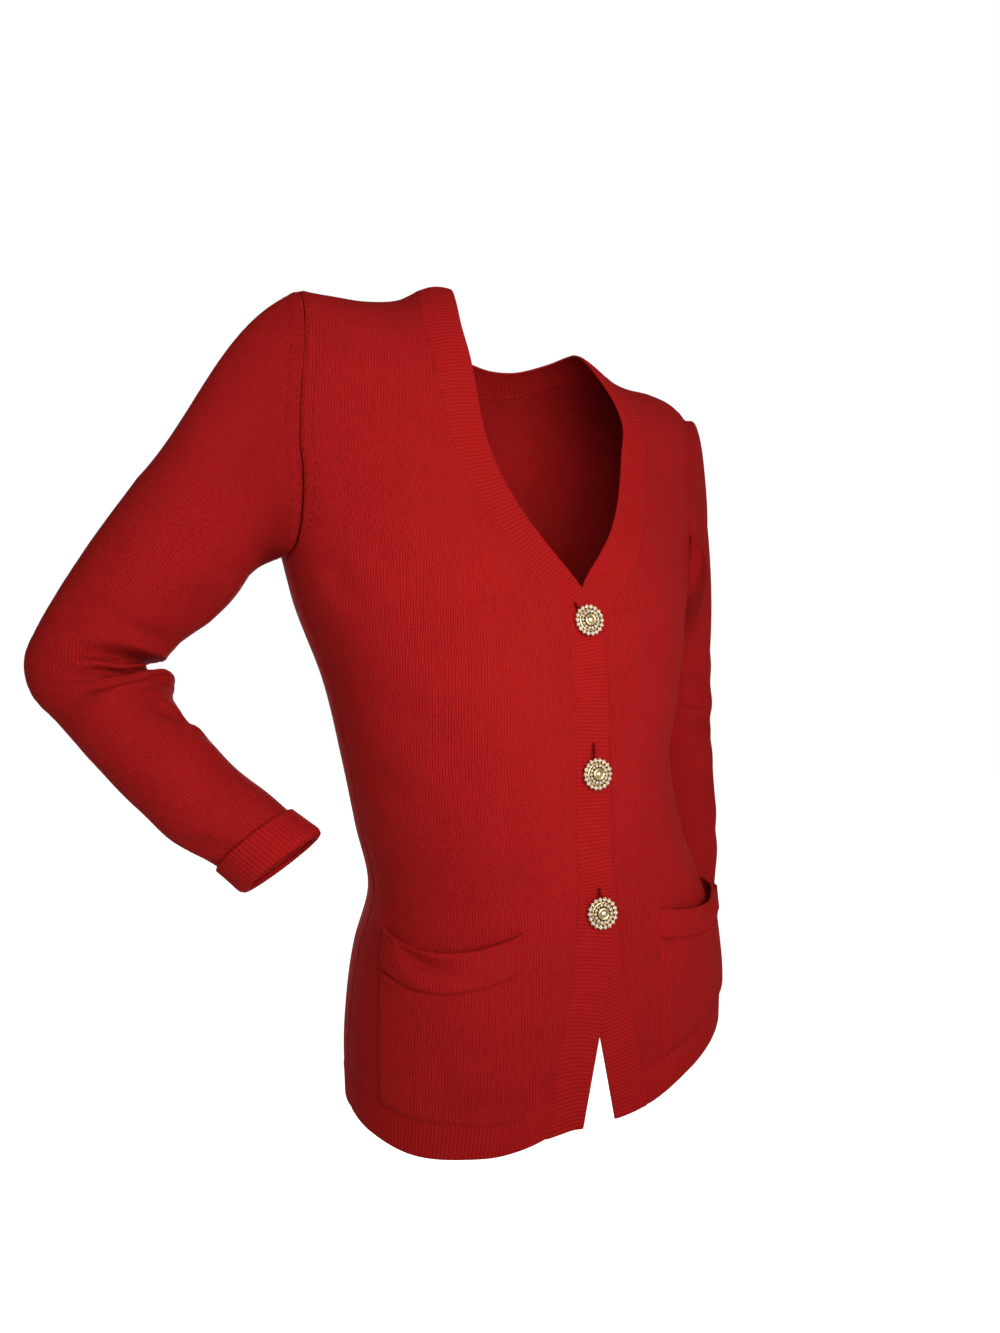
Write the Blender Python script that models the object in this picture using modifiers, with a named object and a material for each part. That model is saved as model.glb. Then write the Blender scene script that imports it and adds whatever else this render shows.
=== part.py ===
"""Button cardigan: a fine-knit V-neck cardigan with three jewelled buttons.

Metres, +Z up.  The wearer faces -Y, so the wearer's left is at +X, and the origin
lies midway between the two neck points, where the shoulders carry the garment.
The cloth keeps the hollow form that it has on a general figure: the right hand
rests on the hip and the left arm hangs.

Every panel is taken from one smooth body form.  A place on that form is given by
`angle` (0 at the left side seam, 90 degrees at the centre, 180 at the right side
seam) and by `run`, the way over the shoulder: 0 on the shoulder line, positive down
the front and negative down the back.
"""

import math

import bmesh
import bpy
import numpy as np
from mathutils import Matrix, Vector

# ---------------------------------------------------------------- driving sizes
WALL = 0.0018                 # thickness of the knitted cloth
SEAM_GAP = 0.0003             # clear space between two pieces that are sewn together
SLEEVE_GAP = 0.0005           # the same at the armhole, where the cloth folds
HEM_HEIGHT = -0.621           # lower edge of the body, below the neck point
HEM_BAND = 0.026              # height of the ribbed hem
BAND_WIDTH = 0.030            # ribbed band down the fronts and round the neck
BAND_LIFT = 0.0014            # the right front rises by this, and the left one sinks
BACK_NECK_RUN = 0.050         # from the shoulder line to the back neck edge
FRONT_ROLL = 0.085            # roundness of the form over the shoulder, front
BACK_ROLL = 0.070             # and back
ARMPIT_HEIGHT = -0.217
ARMHOLE_TURN_HEIGHT = -0.140  # where the armhole starts to curve under the arm
ARMHOLE_REACH = 0.170         # the armhole has its lower way out at this run
ARMHOLE_OUT = {               # way out from the form's middle, on the shoulder and below
    "right": (0.176, 0.1825),
    "left": (0.194, 0.1770),
}
SQUARENESS = 2.3              # power of the oval sections: 2 is an ellipse
BUTTON_HEIGHTS = (-0.254, -0.367, -0.468)
SLIT_LENGTH = 0.026           # vertical buttonhole
SLIT_WIDTH = 0.0034
SLIT_RISE = 0.0080            # its middle lies this far above the button's
SLIT_SIDES = 20
SHANK_RADIUS = 0.0010
BUTTON_REST = 0.0008          # the button stands this far off the band
BUTTON_STEPS = 28
# Turned outline of a button's face, from the middle of its boss to its back.
BUTTON_OUTLINE = (
    ("boss_top", 0.0000, 0.0062), ("boss_shoulder", 0.0020, 0.0059),
    ("boss_side", 0.0036, 0.0050), ("boss_foot", 0.0042, 0.0040),
    ("inner_ring_edge", 0.0078, 0.0036), ("inner_ring_step", 0.0082, 0.0028),
    ("outer_ring_edge", 0.0113, 0.0024), ("rim_top", 0.0119, 0.0017),
    ("rim", 0.0120, 0.0010), ("rim_back", 0.0112, 0.0003), ("back", 0.0085, 0.0000),
)

# Oval sections of the body form.  tilt lowers the left side, twist turns the
# section towards the wearer's left, both in degrees.
BODY_COLUMNS = ("height", "half_width", "front", "back", "centre_x", "centre_y",
                "tilt", "twist")
BODY_SECTIONS = (
    (-0.640, 0.156, 0.110, 0.110, 0.011, -0.006, -5.5, -9.0),
    (-0.560, 0.157, 0.112, 0.110, 0.011, -0.005, -5.0, -9.0),
    (-0.500, 0.149, 0.113, 0.105, 0.011, -0.003, -3.5, -8.5),
    (-0.460, 0.137, 0.113, 0.100, 0.011, -0.001, -2.0, -7.5),
    (-0.410, 0.137, 0.113, 0.094, -0.004, 0.000, -0.5, -5.0),
    (-0.360, 0.141, 0.112, 0.090, -0.014, 0.000, 1.0, -2.5),
    (-0.300, 0.156, 0.109, 0.092, -0.016, 0.000, 2.0, -1.5),
    (-0.250, 0.172, 0.104, 0.097, -0.021, 0.000, 3.0, -0.5),
    (-0.200, 0.183, 0.091, 0.100, -0.022, 0.000, 4.0, 0.0),
    (-0.150, 0.192, 0.075, 0.100, -0.021, 0.000, 4.6, 0.0),
    (-0.100, 0.197, 0.063, 0.098, -0.020, 0.001, 5.0, 0.0),
    (-0.050, 0.203, 0.058, 0.092, -0.019, 0.002, 5.0, 0.0),
    (0.010, 0.206, 0.056, 0.084, -0.018, 0.003, 5.0, 0.0),
)

# The shoulder line falls away from the neck point.
SHOULDER_COLUMNS = ("out", "drop")
SHOULDER_LINE = (
    (0.000, 0.000), (0.040, 0.000), (0.068, 0.001), (0.098, 0.015),
    (0.125, 0.026), (0.155, 0.031), (0.182, 0.031), (0.215, 0.044),
)
SHOULDER_FADE = 0.170         # the fall has died away this far down the body
NECK_LEAN = 0.24              # the neck opening leans down to the wearer's left
NECK_LEAN_REACH = 0.10
# The lower edge swings up at the sides and dips under the right pocket: rise of the
# cloth round the front, by the angle in degrees, and the level where it has died away.
SWING_COLUMNS = ("angle", "rise")
FRONT_SWING = (
    (0, 0.025), (30, 0.025), (60, 0.008), (90, 0.003), (115, -0.003), (140, -0.007),
    (160, 0.000), (180, 0.009),
)
BACK_SWING = ((0, 0.025), (50, 0.006), (90, 0.003), (130, 0.003), (180, 0.009))
SWING_TOP = -0.430

# Two soft rises of the front that the fronts' shaping gives.
BUST_RISE = 0.010
BUST_OUT = 0.078
BUST_HEIGHT = -0.215
BUST_SPREAD = 0.050

# Free edge of the front band: `out` is the way from the placket's middle to its own
# side, and `middle` the way from the form's middle to the placket's.
EDGE_COLUMNS = ("run", "out", "middle")
FREE_EDGE = (
    (0.000, 0.065, 0.006), (0.050, 0.073, 0.006), (0.100, 0.078, 0.006),
    (0.130, 0.076, 0.007), (0.168, 0.067, 0.009), (0.218, 0.047, 0.011),
    (0.256, 0.023, 0.013), (0.281, 0.002, 0.015), (0.302, -0.009, 0.012),
    (0.335, -0.013, 0.011), (0.420, -0.013, 0.010), (0.520, -0.012, -0.002),
    (0.570, -0.006, 0.000), (0.600, 0.000, 0.000), (0.640, 0.008, 0.000),
    (0.680, 0.016, 0.000),
)

# Levels of the rows of knitting that bound the facets, below the armhole.
PANEL_LEVELS = (-0.566, -0.536, -0.505, -0.478, -0.456, -0.434, -0.404, -0.370, -0.336,
                -0.303, -0.272, -0.246, -0.225)
# Stations above the armhole's lowest point: places on the band, then the armhole.
FRONT_NECK_RUNS = (0.238, 0.215, 0.190, 0.165, 0.140, 0.115, 0.090, 0.064,
                   0.040, 0.018, 0.0)
FRONT_ARM_RUNS = (0.150, 0.116, 0.082, 0.048, 0.020, 0.0)
BACK_CENTRE_RUNS = (0.222, 0.198, 0.174, 0.150, 0.126, 0.104)
BACK_NECK_TURNS = (90.0, 68.0, 46.0, 22.0, 0.0)
BACK_ARM_RUNS = (0.140, 0.104, 0.072, 0.044, 0.020, 0.0)
ARMHOLE_UNDER_STEPS = 5
HALF_PANEL_COLUMNS = 9

# Each sleeve hangs about a path from the shoulder by the elbow to the wrist.
ARM_PATHS = {
    "right": {"shoulder": (-0.182, 0.006, -0.083), "elbow": (-0.3525, 0.063, -0.292),
              "wrist": (-0.219, -0.038, -0.421)},
    "left": {"shoulder": (0.192, 0.016, -0.090), "elbow": (0.219, 0.072, -0.330),
             "wrist": (0.236, 0.060, -0.530)},
}
ELBOW_BEND = 0.075            # the path is rounded this far on each side of the elbow
# Sleeve sections: share of the way along the path, then the half sizes.
SLEEVE_COLUMNS = ("share", "half_in_plane", "half_across")
SLEEVE_SECTIONS = {
    "right": (
        (0.00, 0.056, 0.062), (0.18, 0.053, 0.055), (0.34, 0.0440, 0.048),
        (0.48, 0.038, 0.044), (0.58, 0.0345, 0.042), (0.66, 0.0315, 0.040),
        (0.78, 0.033, 0.037), (0.90, 0.032, 0.033), (1.00, 0.027, 0.029),
    ),
    "left": (
        (0.00, 0.050, 0.044), (0.20, 0.048, 0.042), (0.40, 0.045, 0.042),
        (0.60, 0.042, 0.040), (0.80, 0.037, 0.036), (1.00, 0.033, 0.033),
    ),
}
SLEEVE_SHARES = {
    "right": (0.34, 0.39, 0.445, 0.495, 0.53, 0.56, 0.59, 0.62, 0.65, 0.68,
              0.72, 0.77, 0.83, 0.89, 0.945, 1.00),
    "left": (0.43, 0.48, 0.53, 0.58, 0.63, 0.68, 0.74, 0.80, 0.86, 0.93, 1.00),
}
# The sleeve's head: the armhole's shape has passed into the arm's at `share`, and
# its top leaves the armhole sloping down by `slope`.
HEAD_SHARE = {"right": 0.29, "left": 0.40}
HEAD_SLOPE = {"right": 0.52, "left": 0.15}
CROWN_RISE = 0.35             # the shoulder point faces out and, by this share, up
UNDERARM_OUT = {"right": 0.9, "left": 1.1}   # its underside leaves outward by this
UNDERARM_SHARE = 0.31         # the underarm's leaving direction ends this far from it
UNDERARM_FADE = 0.20          # along the armhole, and fades in over this share
HEAD_ROWS = (0.0, 0.04, 0.12, 0.22, 0.33, 0.45, 0.58, 0.72, 0.86)
# Folds of the sleeves: place, depth (in is negative) and reach, round the inner elbow.
FOLD_COLUMNS = ("share", "rise", "reach", "turn", "spread")
SLEEVE_FOLDS = {
    "right": (
        (0.520, 0.004, 0.022, 180, 75), (0.560, -0.007, 0.018, 180, 85),
        (0.592, 0.003, 0.014, 180, 60), (0.624, -0.006, 0.018, 170, 80),
        (0.660, 0.005, 0.020, 180, 70), (0.700, -0.004, 0.020, 190, 60),
        (0.760, 0.004, 0.030, 185, 60), (0.850, -0.003, 0.040, 150, 60),
    ),
    "left": (
        (0.480, -0.003, 0.030, 180, 70), (0.560, -0.004, 0.025, 180, 80),
        (0.640, 0.003, 0.030, 170, 70), (0.300, -0.003, 0.050, 210, 60),
    ),
}

WRIST_SLANT = {"right": 0.007, "left": 0.0}  # the end is cut longer on the inner side
WRIST_SLANT_FROM = 0.70
CUFF_LENGTH = 0.026           # turned-back cuff
CUFF_WALL = 0.0024
CUFF_FLARE = 0.0035           # the lower edge stands out by this
CUFF_LIP = 0.0030             # the fold that closes the sleeve's end
CUFF_GAP = 0.0005             # clear of the sleeve inside it
CUFF_ROUND = 0.0012           # its lower edge is rounded in by this

POCKET_INNER = 0.043          # from the band seam
POCKET_OUTER = 0.156
POCKET_BOTTOM = -0.594
POCKET_TOP_INNER = -0.474     # level of the pocket's mouth at its two ends
POCKET_TOP_OUTER = -0.460
POCKET_SAG = 0.013            # the mouth hangs down by this in the middle
POCKET_GAPE = 0.011           # and stands open by this
POCKET_REST = 0.0008          # clear of the front elsewhere
POCKET_TURN = 0.024           # the turned top edge
POCKET_TURN_RISE = 0.0008
POCKET_GAPE_FROM = 0.25       # the mouth's gape starts this far up the pocket
POCKET_GAPE_REACH = 0.85      # and would be whole after this share more
POCKET_GAPE_POWER = 1.5
POCKET_PLAIN_ROWS = (0.0, 0.14, 0.28, 0.42, 0.56, 0.70)
POCKET_TOP_ROWS = (0.92, 1.0)
POCKET_TURN_STEP = 0.012      # the rows on both sides of the turned edge's line
POCKET_COLUMNS_COUNT = 11

YARN_COLOUR = (0.300, 0.011, 0.011)
GILT_COLOUR = (0.80, 0.56, 0.24)

SIDES = {"right": -1.0, "left": 1.0}


# ---------------------------------------------------------------- small helpers
class Curve:
    """A table read as smooth curves of its first column."""

    def __init__(self, columns, rows):
        self.columns = columns
        self.keys = np.array([row[0] for row in rows])
        self.values = np.array([row[1:] for row in rows])
        steps = np.diff(self.keys)[:, None]
        slopes = np.diff(self.values, axis=0) / steps
        inner = (slopes[1:] * steps[:-1] + slopes[:-1] * steps[1:]) / (steps[1:] + steps[:-1])
        self.slopes = np.vstack([slopes[:1], inner, slopes[-1:]])

    def at(self, key):
        """Values of every other column at this key, as a dictionary."""
        key = min(max(key, self.keys[0]), self.keys[-1])
        index = min(int(np.searchsorted(self.keys, key, side="right")) - 1, len(self.keys) - 2)
        step = self.keys[index + 1] - self.keys[index]
        t = (key - self.keys[index]) / step
        values = ((2 * t**3 - 3 * t**2 + 1) * self.values[index]
                  + (t**3 - 2 * t**2 + t) * step * self.slopes[index]
                  + (3 * t**2 - 2 * t**3) * self.values[index + 1]
                  + (t**3 - t**2) * step * self.slopes[index + 1])
        return dict(zip(self.columns[1:], values))


BODY = Curve(BODY_COLUMNS, BODY_SECTIONS)
SHOULDER = Curve(SHOULDER_COLUMNS, SHOULDER_LINE)
EDGE = Curve(EDGE_COLUMNS, FREE_EDGE)
SWINGS = (Curve(SWING_COLUMNS, FRONT_SWING), Curve(SWING_COLUMNS, BACK_SWING))


def smooth(value):
    """Ease from 0 to 1 as value goes from 0 to 1."""
    value = min(max(value, 0.0), 1.0)
    return value * value * (3 - 2 * value)


def signed_power(value, power):
    return math.copysign(abs(value) ** power, value)


def unit(vector):
    return vector / np.linalg.norm(vector)


# ---------------------------------------------------------------- the body form
def over_shoulder(run):
    """Height below the shoulder line, and share of the full depth, at this run."""
    roll = FRONT_ROLL if run >= 0 else BACK_ROLL
    turn = min(abs(run) / roll, math.pi / 2)
    height = -roll * (1 - math.cos(turn)) - max(abs(run) - roll * math.pi / 2, 0.0)
    return height, math.sin(turn)


def run_at(height, face):
    """Run of a level below the rounded shoulder, on the front (1) or the back (-1)."""
    roll = FRONT_ROLL if face > 0 else BACK_ROLL
    return face * (roll * math.pi / 2 - height - roll)


def form_point(angle, run):
    """Point of the body form."""
    height, share = over_shoulder(run)
    section = BODY.at(height)
    across = section["half_width"] * signed_power(math.cos(angle), 2 / SQUARENESS)
    forward = signed_power(math.sin(angle), 2 / SQUARENESS) * share
    if run >= 0:
        far = (abs(across) - BUST_OUT) / BUST_SPREAD
        high = (height - BUST_HEIGHT) / BUST_SPREAD
        deep = -section["front"] * forward - BUST_RISE * math.exp(-far**2 - high**2)
    else:
        deep = section["back"] * forward
    lean = NECK_LEAN * across * math.exp(-(across / NECK_LEAN_REACH) ** 2)
    fall = (SHOULDER.at(abs(across))["drop"] + lean) * (1 - smooth(-height / SHOULDER_FADE))
    swing = SWINGS[0 if run >= 0 else 1].at(math.degrees(angle))["rise"]
    swing *= smooth((SWING_TOP - height) / (SWING_TOP - HEM_HEIGHT))
    twist = math.radians(section["twist"])
    x = across * math.cos(twist) - deep * math.sin(twist)
    y = across * math.sin(twist) + deep * math.cos(twist)
    return np.array([
        x + section["centre_x"],
        y + section["centre_y"],
        height + swing - fall - x * math.tan(math.radians(section["tilt"])),
    ])


def form_normal(angle, run):
    """Outward direction of the body form."""
    small = 0.0008
    along = form_point(angle + small * 6, run) - form_point(angle - small * 6, run)
    down = form_point(angle, run + small) - form_point(angle, run - small)
    return unit(np.cross(along, down))


def angle_at(x, run):
    """Angle of a place this far across the form."""
    height, _ = over_shoulder(run)
    share = min(abs(x) / BODY.at(height)["half_width"], 1.0)
    lean = math.acos(share ** (SQUARENESS / 2))
    return lean if x > 0 else math.pi - lean


def front_lift(side, angle, run):
    """Rise of the right front over the left one, near the centre and below the V."""
    height, _ = over_shoulder(run)
    across = abs(BODY.at(height)["half_width"] * math.cos(angle))
    near = 1 - smooth((across - 0.020) / 0.070)
    below = smooth((-0.180 - height) / 0.050)
    return -SIDES[side] * BAND_LIFT * near * below


def cloth_point(angle, run, lift=0.0):
    return form_point(angle, run) + lift * form_normal(angle, run)


def walk(x, run, direction, length, steps=6):
    """Moves over the form from (x, run) in a direction, and gives the new (x, run)."""
    small = 0.0005
    for _ in range(steps):
        here = form_point(angle_at(x, run), run)
        by_x = (form_point(angle_at(x + small, run), run) - here) / small
        by_run = (form_point(angle_at(x, run + small), run + small) - here) / small
        level = unit(np.cross(by_x, by_run))
        flat = unit(direction - level * direction.dot(level)) * length / steps
        square = by_x.dot(by_x) * by_run.dot(by_run) - by_x.dot(by_run) ** 2
        shift = ((by_run.dot(by_run) * by_x.dot(flat) - by_x.dot(by_run) * by_run.dot(flat))
                 / square,
                 (by_x.dot(by_x) * by_run.dot(flat) - by_x.dot(by_run) * by_x.dot(flat))
                 / square)
        x, run = x + shift[0], run + shift[1]
    return x, run


def spread(path, count):
    """Evenly turned points along a path(t), closer together at both of its ends."""
    fine = np.array([path(t) for t in np.linspace(0, 1, 41)])
    lengths = np.concatenate([[0], np.cumsum(np.linalg.norm(np.diff(fine, axis=0), axis=1))])
    shares = np.linspace(0, 1, count + 1)
    shares = 0.25 * shares + 0.75 * (1 - np.cos(math.pi * shares)) / 2
    return [path(np.interp(share * lengths[-1], lengths, np.linspace(0, 1, 41)))
            for share in shares]


# ---------------------------------------------------------------- seam lines
def edge_x(side, run, further=0.0):
    """Place across the form of the front band's free edge, or further out."""
    edge = EDGE.at(run)
    return SIDES[side] * (edge["out"] + further) + edge["middle"]


def free_edge_places(side):
    """Places (x, run) of the band's free edge, from the hem to the centre back."""
    levels = (HEM_HEIGHT, HEM_HEIGHT + HEM_BAND) + PANEL_LEVELS + (ARMPIT_HEIGHT,)
    runs = [run_at(level, 1) for level in levels] + list(FRONT_NECK_RUNS)
    places = [(edge_x(side, run), run) for run in runs]
    for turn in reversed(BACK_NECK_TURNS[:-1]):
        around = math.radians(turn)
        places.append((edge_x(side, 0.0) * math.cos(around), -BACK_NECK_RUN * math.sin(around)))
    return places


def band_places(side, distance):
    """The free edge moved over the form by a distance, away from the neck opening."""
    sign = SIDES[side]
    edge = free_edge_places(side)
    points = [form_point(angle_at(*place), place[1]) for place in edge]
    moved = []
    for index, (x, run) in enumerate(edge):
        before = points[max(index - 1, 0)]
        after = points[min(index + 1, len(points) - 1)]
        normal = form_normal(angle_at(x, run), run)
        away = np.cross(normal, after - before) * -sign
        if index == len(edge) - 1:
            away = np.array([0.0, 0.4, -1.0])
        moved_x, moved_run = walk(x, run, away, distance)
        moved_run = run + (moved_run - run) * smooth(abs(run) / BACK_NECK_RUN)
        if index == len(edge) - 1:
            moved_x = 0.0
        moved.append((moved_x, moved_run))
    return moved


def armhole_places(side, face):
    """Places (angle, run) of the armhole from under the arm to the shoulder point."""
    runs = FRONT_ARM_RUNS if face > 0 else BACK_ARM_RUNS
    turn_run = run_at(ARMHOLE_TURN_HEIGHT, face)
    under = run_at(ARMPIT_HEIGHT, face)
    side_angle = 0.0 if side == "left" else math.pi
    turn_angle = angle_at(armhole_x(side, turn_run), turn_run)
    places = []
    for step in range(ARMHOLE_UNDER_STEPS + 1):
        around = math.pi / 2 * step / ARMHOLE_UNDER_STEPS
        angle = side_angle + (turn_angle - side_angle) * math.sin(around)
        places.append((angle, under + (turn_run - under) * (1 - math.cos(around))))
    for run in runs:
        places.append((angle_at(armhole_x(side, run), run), face * run))
    return places


def armhole_x(side, run):
    """Place across the upper part of the form where the armhole lies."""
    above, below = ARMHOLE_OUT[side]
    return SIDES[side] * (above + (below - above) * smooth(abs(run) / ARMHOLE_REACH))


# ---------------------------------------------------------------- panel grids
def panel_rows(side, face):
    """Rows of a front panel, or of half the back, from the hem band to the shoulder."""
    side_angle = 0.0 if side == "left" else math.pi
    levels = (HEM_HEIGHT + HEM_BAND,) + PANEL_LEVELS
    outer = [(side_angle, run_at(level, face)) for level in levels] + armhole_places(side, face)
    if face > 0:
        inner = [(angle_at(*place), place[1])
                 for place in band_places(side, BAND_WIDTH + SEAM_GAP)[1:1 + len(outer)]]
    else:
        neck = band_places(side, BAND_WIDTH + SEAM_GAP)[-len(BACK_NECK_TURNS):]
        centre = [run_at(level, -1) for level in levels + (ARMPIT_HEIGHT,)]
        centre += [-run for run in BACK_CENTRE_RUNS]
        inner = [(math.pi / 2, run) for run in centre]
        inner += [(angle_at(*place), place[1]) for place in reversed(neck)]
    rows = []
    for index, (start, end) in enumerate(zip(outer, inner)):
        if index < len(levels) + 1:
            start = (trimmed_side(side_angle, start[1]), start[1])
        if index == len(outer) - 1:
            start = (start[0], face * SEAM_GAP / 2)
            end = (end[0], face * SEAM_GAP / 2)
        rows.append(panel_row(side, face, start, end))
    return rows


def trimmed_side(side_angle, run):
    """The side seam's angle moved off the seam by half its gap."""
    height, _ = over_shoulder(run)
    deep = BODY.at(height)["front" if run > 0 else "back"]
    lean = (SEAM_GAP / 2 / deep) ** (SQUARENESS / 2)
    return lean if side_angle == 0.0 else math.pi - lean


def panel_row(side, face, start, end, count=HALF_PANEL_COLUMNS):
    def path(t):
        angle = start[0] + (end[0] - start[0]) * t
        run = start[1] + (end[1] - start[1]) * t
        lift = front_lift(side, angle, run) if face > 0 else 0.0
        return cloth_point(angle, run, lift - WALL)
    return spread(path, count)


def hem_rows(side, face):
    """Rows of a hem band piece, from the lower edge up to the panel."""
    side_angle = 0.0 if side == "left" else math.pi
    lower, upper = band_places(side, BAND_WIDTH + SEAM_GAP)[:2]
    rows = []
    for share in (0.0, 0.5, 1.0 - SEAM_GAP / HEM_BAND):
        run = run_at(HEM_HEIGHT + HEM_BAND * share, face)
        start = (trimmed_side(side_angle, run), run)
        end = (math.pi / 2, run)
        if face > 0:
            x = lower[0] + (upper[0] - lower[0]) * share
            end_run = lower[1] + (upper[1] - lower[1]) * share
            end = (angle_at(x, end_run), end_run)
        rows.append(panel_row(side, face, start, end))
    return rows


def place_on_front(side, level, distance):
    """Place (angle, run) on a front at this level, this far round from an upright line.

    The line stands where the band's seam meets the pocket's mouth.
    """
    run = run_at(level, 1)
    seam_x = edge_x(side, run_at(POCKET_TOP_INNER, 1), BAND_WIDTH)
    angles = np.linspace(angle_at(seam_x, run), 0.0 if side == "left" else math.pi, 41)
    points = np.array([form_point(angle, run) for angle in angles])
    lengths = np.concatenate([[0], np.cumsum(np.linalg.norm(np.diff(points, axis=0), axis=1))])
    return float(np.interp(distance, lengths, angles)), run


# ---------------------------------------------------------------- sleeves
def arm_path(side):
    """Even points of the rounded path, with their directions, and the plane's normal."""
    shoulder, elbow, wrist = (np.array(ARM_PATHS[side][name])
                              for name in ("shoulder", "elbow", "wrist"))
    upper = unit(elbow - shoulder)
    lower = unit(wrist - elbow)
    start, end = elbow - upper * ELBOW_BEND, elbow + lower * ELBOW_BEND
    points = [shoulder + (start - shoulder) * t for t in np.linspace(0, 1, 30, endpoint=False)]
    points += [(1 - t) ** 2 * start + 2 * t * (1 - t) * elbow + t * t * end
               for t in np.linspace(0, 1, 20, endpoint=False)]
    points += [end + (wrist - end) * t for t in np.linspace(0, 1, 30)]
    points = np.array(points)
    lengths = np.concatenate([[0], np.cumsum(np.linalg.norm(np.diff(points, axis=0), axis=1))])
    return points, lengths, unit(np.cross(upper, lower))


class Arm:
    """The form of one arm of the garment."""

    def __init__(self, side):
        self.side = side
        self.points, self.lengths, self.across = arm_path(side)
        self.sections = Curve(SLEEVE_COLUMNS, SLEEVE_SECTIONS[side])

    def place(self, share):
        """Centre of the path, its direction and the outside of the elbow's bend."""
        at = share * self.lengths[-1]
        ends = np.array([at - 0.002, at, at + 0.002])
        three = np.array([[np.interp(a, self.lengths, self.points[:, axis]) for axis in range(3)]
                          for a in np.clip(ends, 0, self.lengths[-1])])
        direction = unit(three[2] - three[0])
        return three[1], direction, unit(np.cross(direction, self.across))

    def fold(self, share, turn):
        """Rise of the cloth where a fold crosses this place."""
        rise = 0.0
        for at, height, reach, middle, spread_of in SLEEVE_FOLDS[self.side]:
            off = (turn - math.radians(middle) + math.pi) % (2 * math.pi) - math.pi
            along = (share - at) / reach
            around = off / math.radians(spread_of)
            rise += height * math.exp(-along * along - around * around)
        return rise

    def point(self, share, turn, lift=0.0):
        centre, direction, outside = self.place(share)
        section = self.sections.at(share)
        rise = lift + self.fold(share, turn)
        slant = (WRIST_SLANT[self.side] * math.cos(turn)
                 * smooth((share - WRIST_SLANT_FROM) / (1 - WRIST_SLANT_FROM)))
        return (centre - direction * slant + outside * math.cos(turn) * (section["half_in_plane"] + rise)
                + self.across * math.sin(turn) * (section["half_across"] + rise))


def armhole_loop(side):
    """Points of the armhole from the shoulder down the front and up the back."""
    places = list(reversed(armhole_places(side, 1))) + armhole_places(side, -1)[1:-1]
    points = [form_point(*place) for place in places]
    normals = [form_normal(*place) for place in places]
    return points, normals


def sleeve_columns(side, arm):
    """Start, leaving direction and turn about the arm of each column of the sleeve."""
    points, normals = armhole_loop(side)
    count = len(points)
    steps = [np.linalg.norm(points[(k + 1) % count] - points[k]) for k in range(count)]
    along = np.concatenate([[0], np.cumsum(steps)])[:-1] / sum(steps)
    _, direction, outside = arm.place(HEAD_SHARE[side])
    crown = np.array([SIDES[side], 0.0, CROWN_RISE])
    first = math.atan2(crown.dot(arm.across), crown.dot(outside))
    onward = arm.across * math.cos(first) - outside * math.sin(first)
    sense = 1.0 if onward[1] < 0 else -1.0
    columns = []
    for k in range(count):
        edge = points[(k + 1) % count] - points[k - 1]
        away = unit(np.cross(edge, normals[k]))
        if away[0] * SIDES[side] < 0 and abs(along[k] - 0.5) > UNDERARM_FADE:
            away = -away
        below = smooth((UNDERARM_SHARE - abs(along[k] - 0.5)) / UNDERARM_FADE)
        along_arm = max(below, HEAD_SLOPE[side])
        leave = unit(away * (1 - along_arm) + direction * along_arm
                     + normals[k] * UNDERARM_OUT[side] * below)
        gap = SLEEVE_GAP + WALL * max(-leave.dot(normals[k]), 0.0)
        columns.append((points[k] + gap * leave, leave, first + sense * 2 * math.pi * along[k]))
    return columns


def sleeve_rows(side, arm):
    """Rows of a sleeve, from the armhole to the end inside the cuff."""
    columns = sleeve_columns(side, arm)
    _, direction, _ = arm.place(HEAD_SHARE[side])
    rows = []
    for t in HEAD_ROWS:
        row = []
        for start, leave, turn in columns:
            end = arm.point(HEAD_SHARE[side], turn)
            pull = np.linalg.norm(end - start)
            row.append((2 * t**3 - 3 * t**2 + 1) * start
                       + (t**3 - 2 * t**2 + t) * pull * leave
                       + (3 * t**2 - 2 * t**3) * end
                       + (t**3 - t**2) * pull * direction)
        rows.append(row)
    end_share = 1 - CUFF_LIP / arm.lengths[-1]
    for share in SLEEVE_SHARES[side]:
        rows.append([arm.point(min(share, end_share), turn) for _, _, turn in columns])
    return rows


def cuff_rows(side, arm):
    """Rows round a cuff's closed section: down its outside and back up its inside."""
    columns = sleeve_columns(side, arm)
    length = arm.lengths[-1]
    top = 1 - CUFF_LENGTH / length
    end = 1 - CUFF_LIP / length
    inner = CUFF_GAP
    outer = inner + CUFF_WALL
    section = (
        (top, inner), (top, outer), ((top + end) / 2, outer + CUFF_FLARE / 2),
        (end, outer + CUFF_FLARE), (1.0, outer + CUFF_FLARE - CUFF_ROUND),
        (1.0, -WALL), (end + SEAM_GAP / length, -WALL),
        (end + SEAM_GAP / length, inner), ((top + end) / 2, inner),
    )
    return [[arm.point(share, turn, lift) for _, _, turn in columns] for share, lift in section]


# ---------------------------------------------------------------- objects
def clear_scene():
    for obj in list(bpy.data.objects):
        bpy.data.objects.remove(obj, do_unlink=True)


def collection(name):
    group = bpy.data.collections.new(name)
    bpy.context.scene.collection.children.link(group)
    return group


def material(name, colour, roughness, metallic=0.0):
    made = bpy.data.materials.new(name)
    made.use_nodes = True
    shader = made.node_tree.nodes["Principled BSDF"]
    shader.inputs["Base Color"].default_value = (*colour, 1.0)
    shader.inputs["Roughness"].default_value = roughness
    shader.inputs["Metallic"].default_value = metallic
    return made


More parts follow.
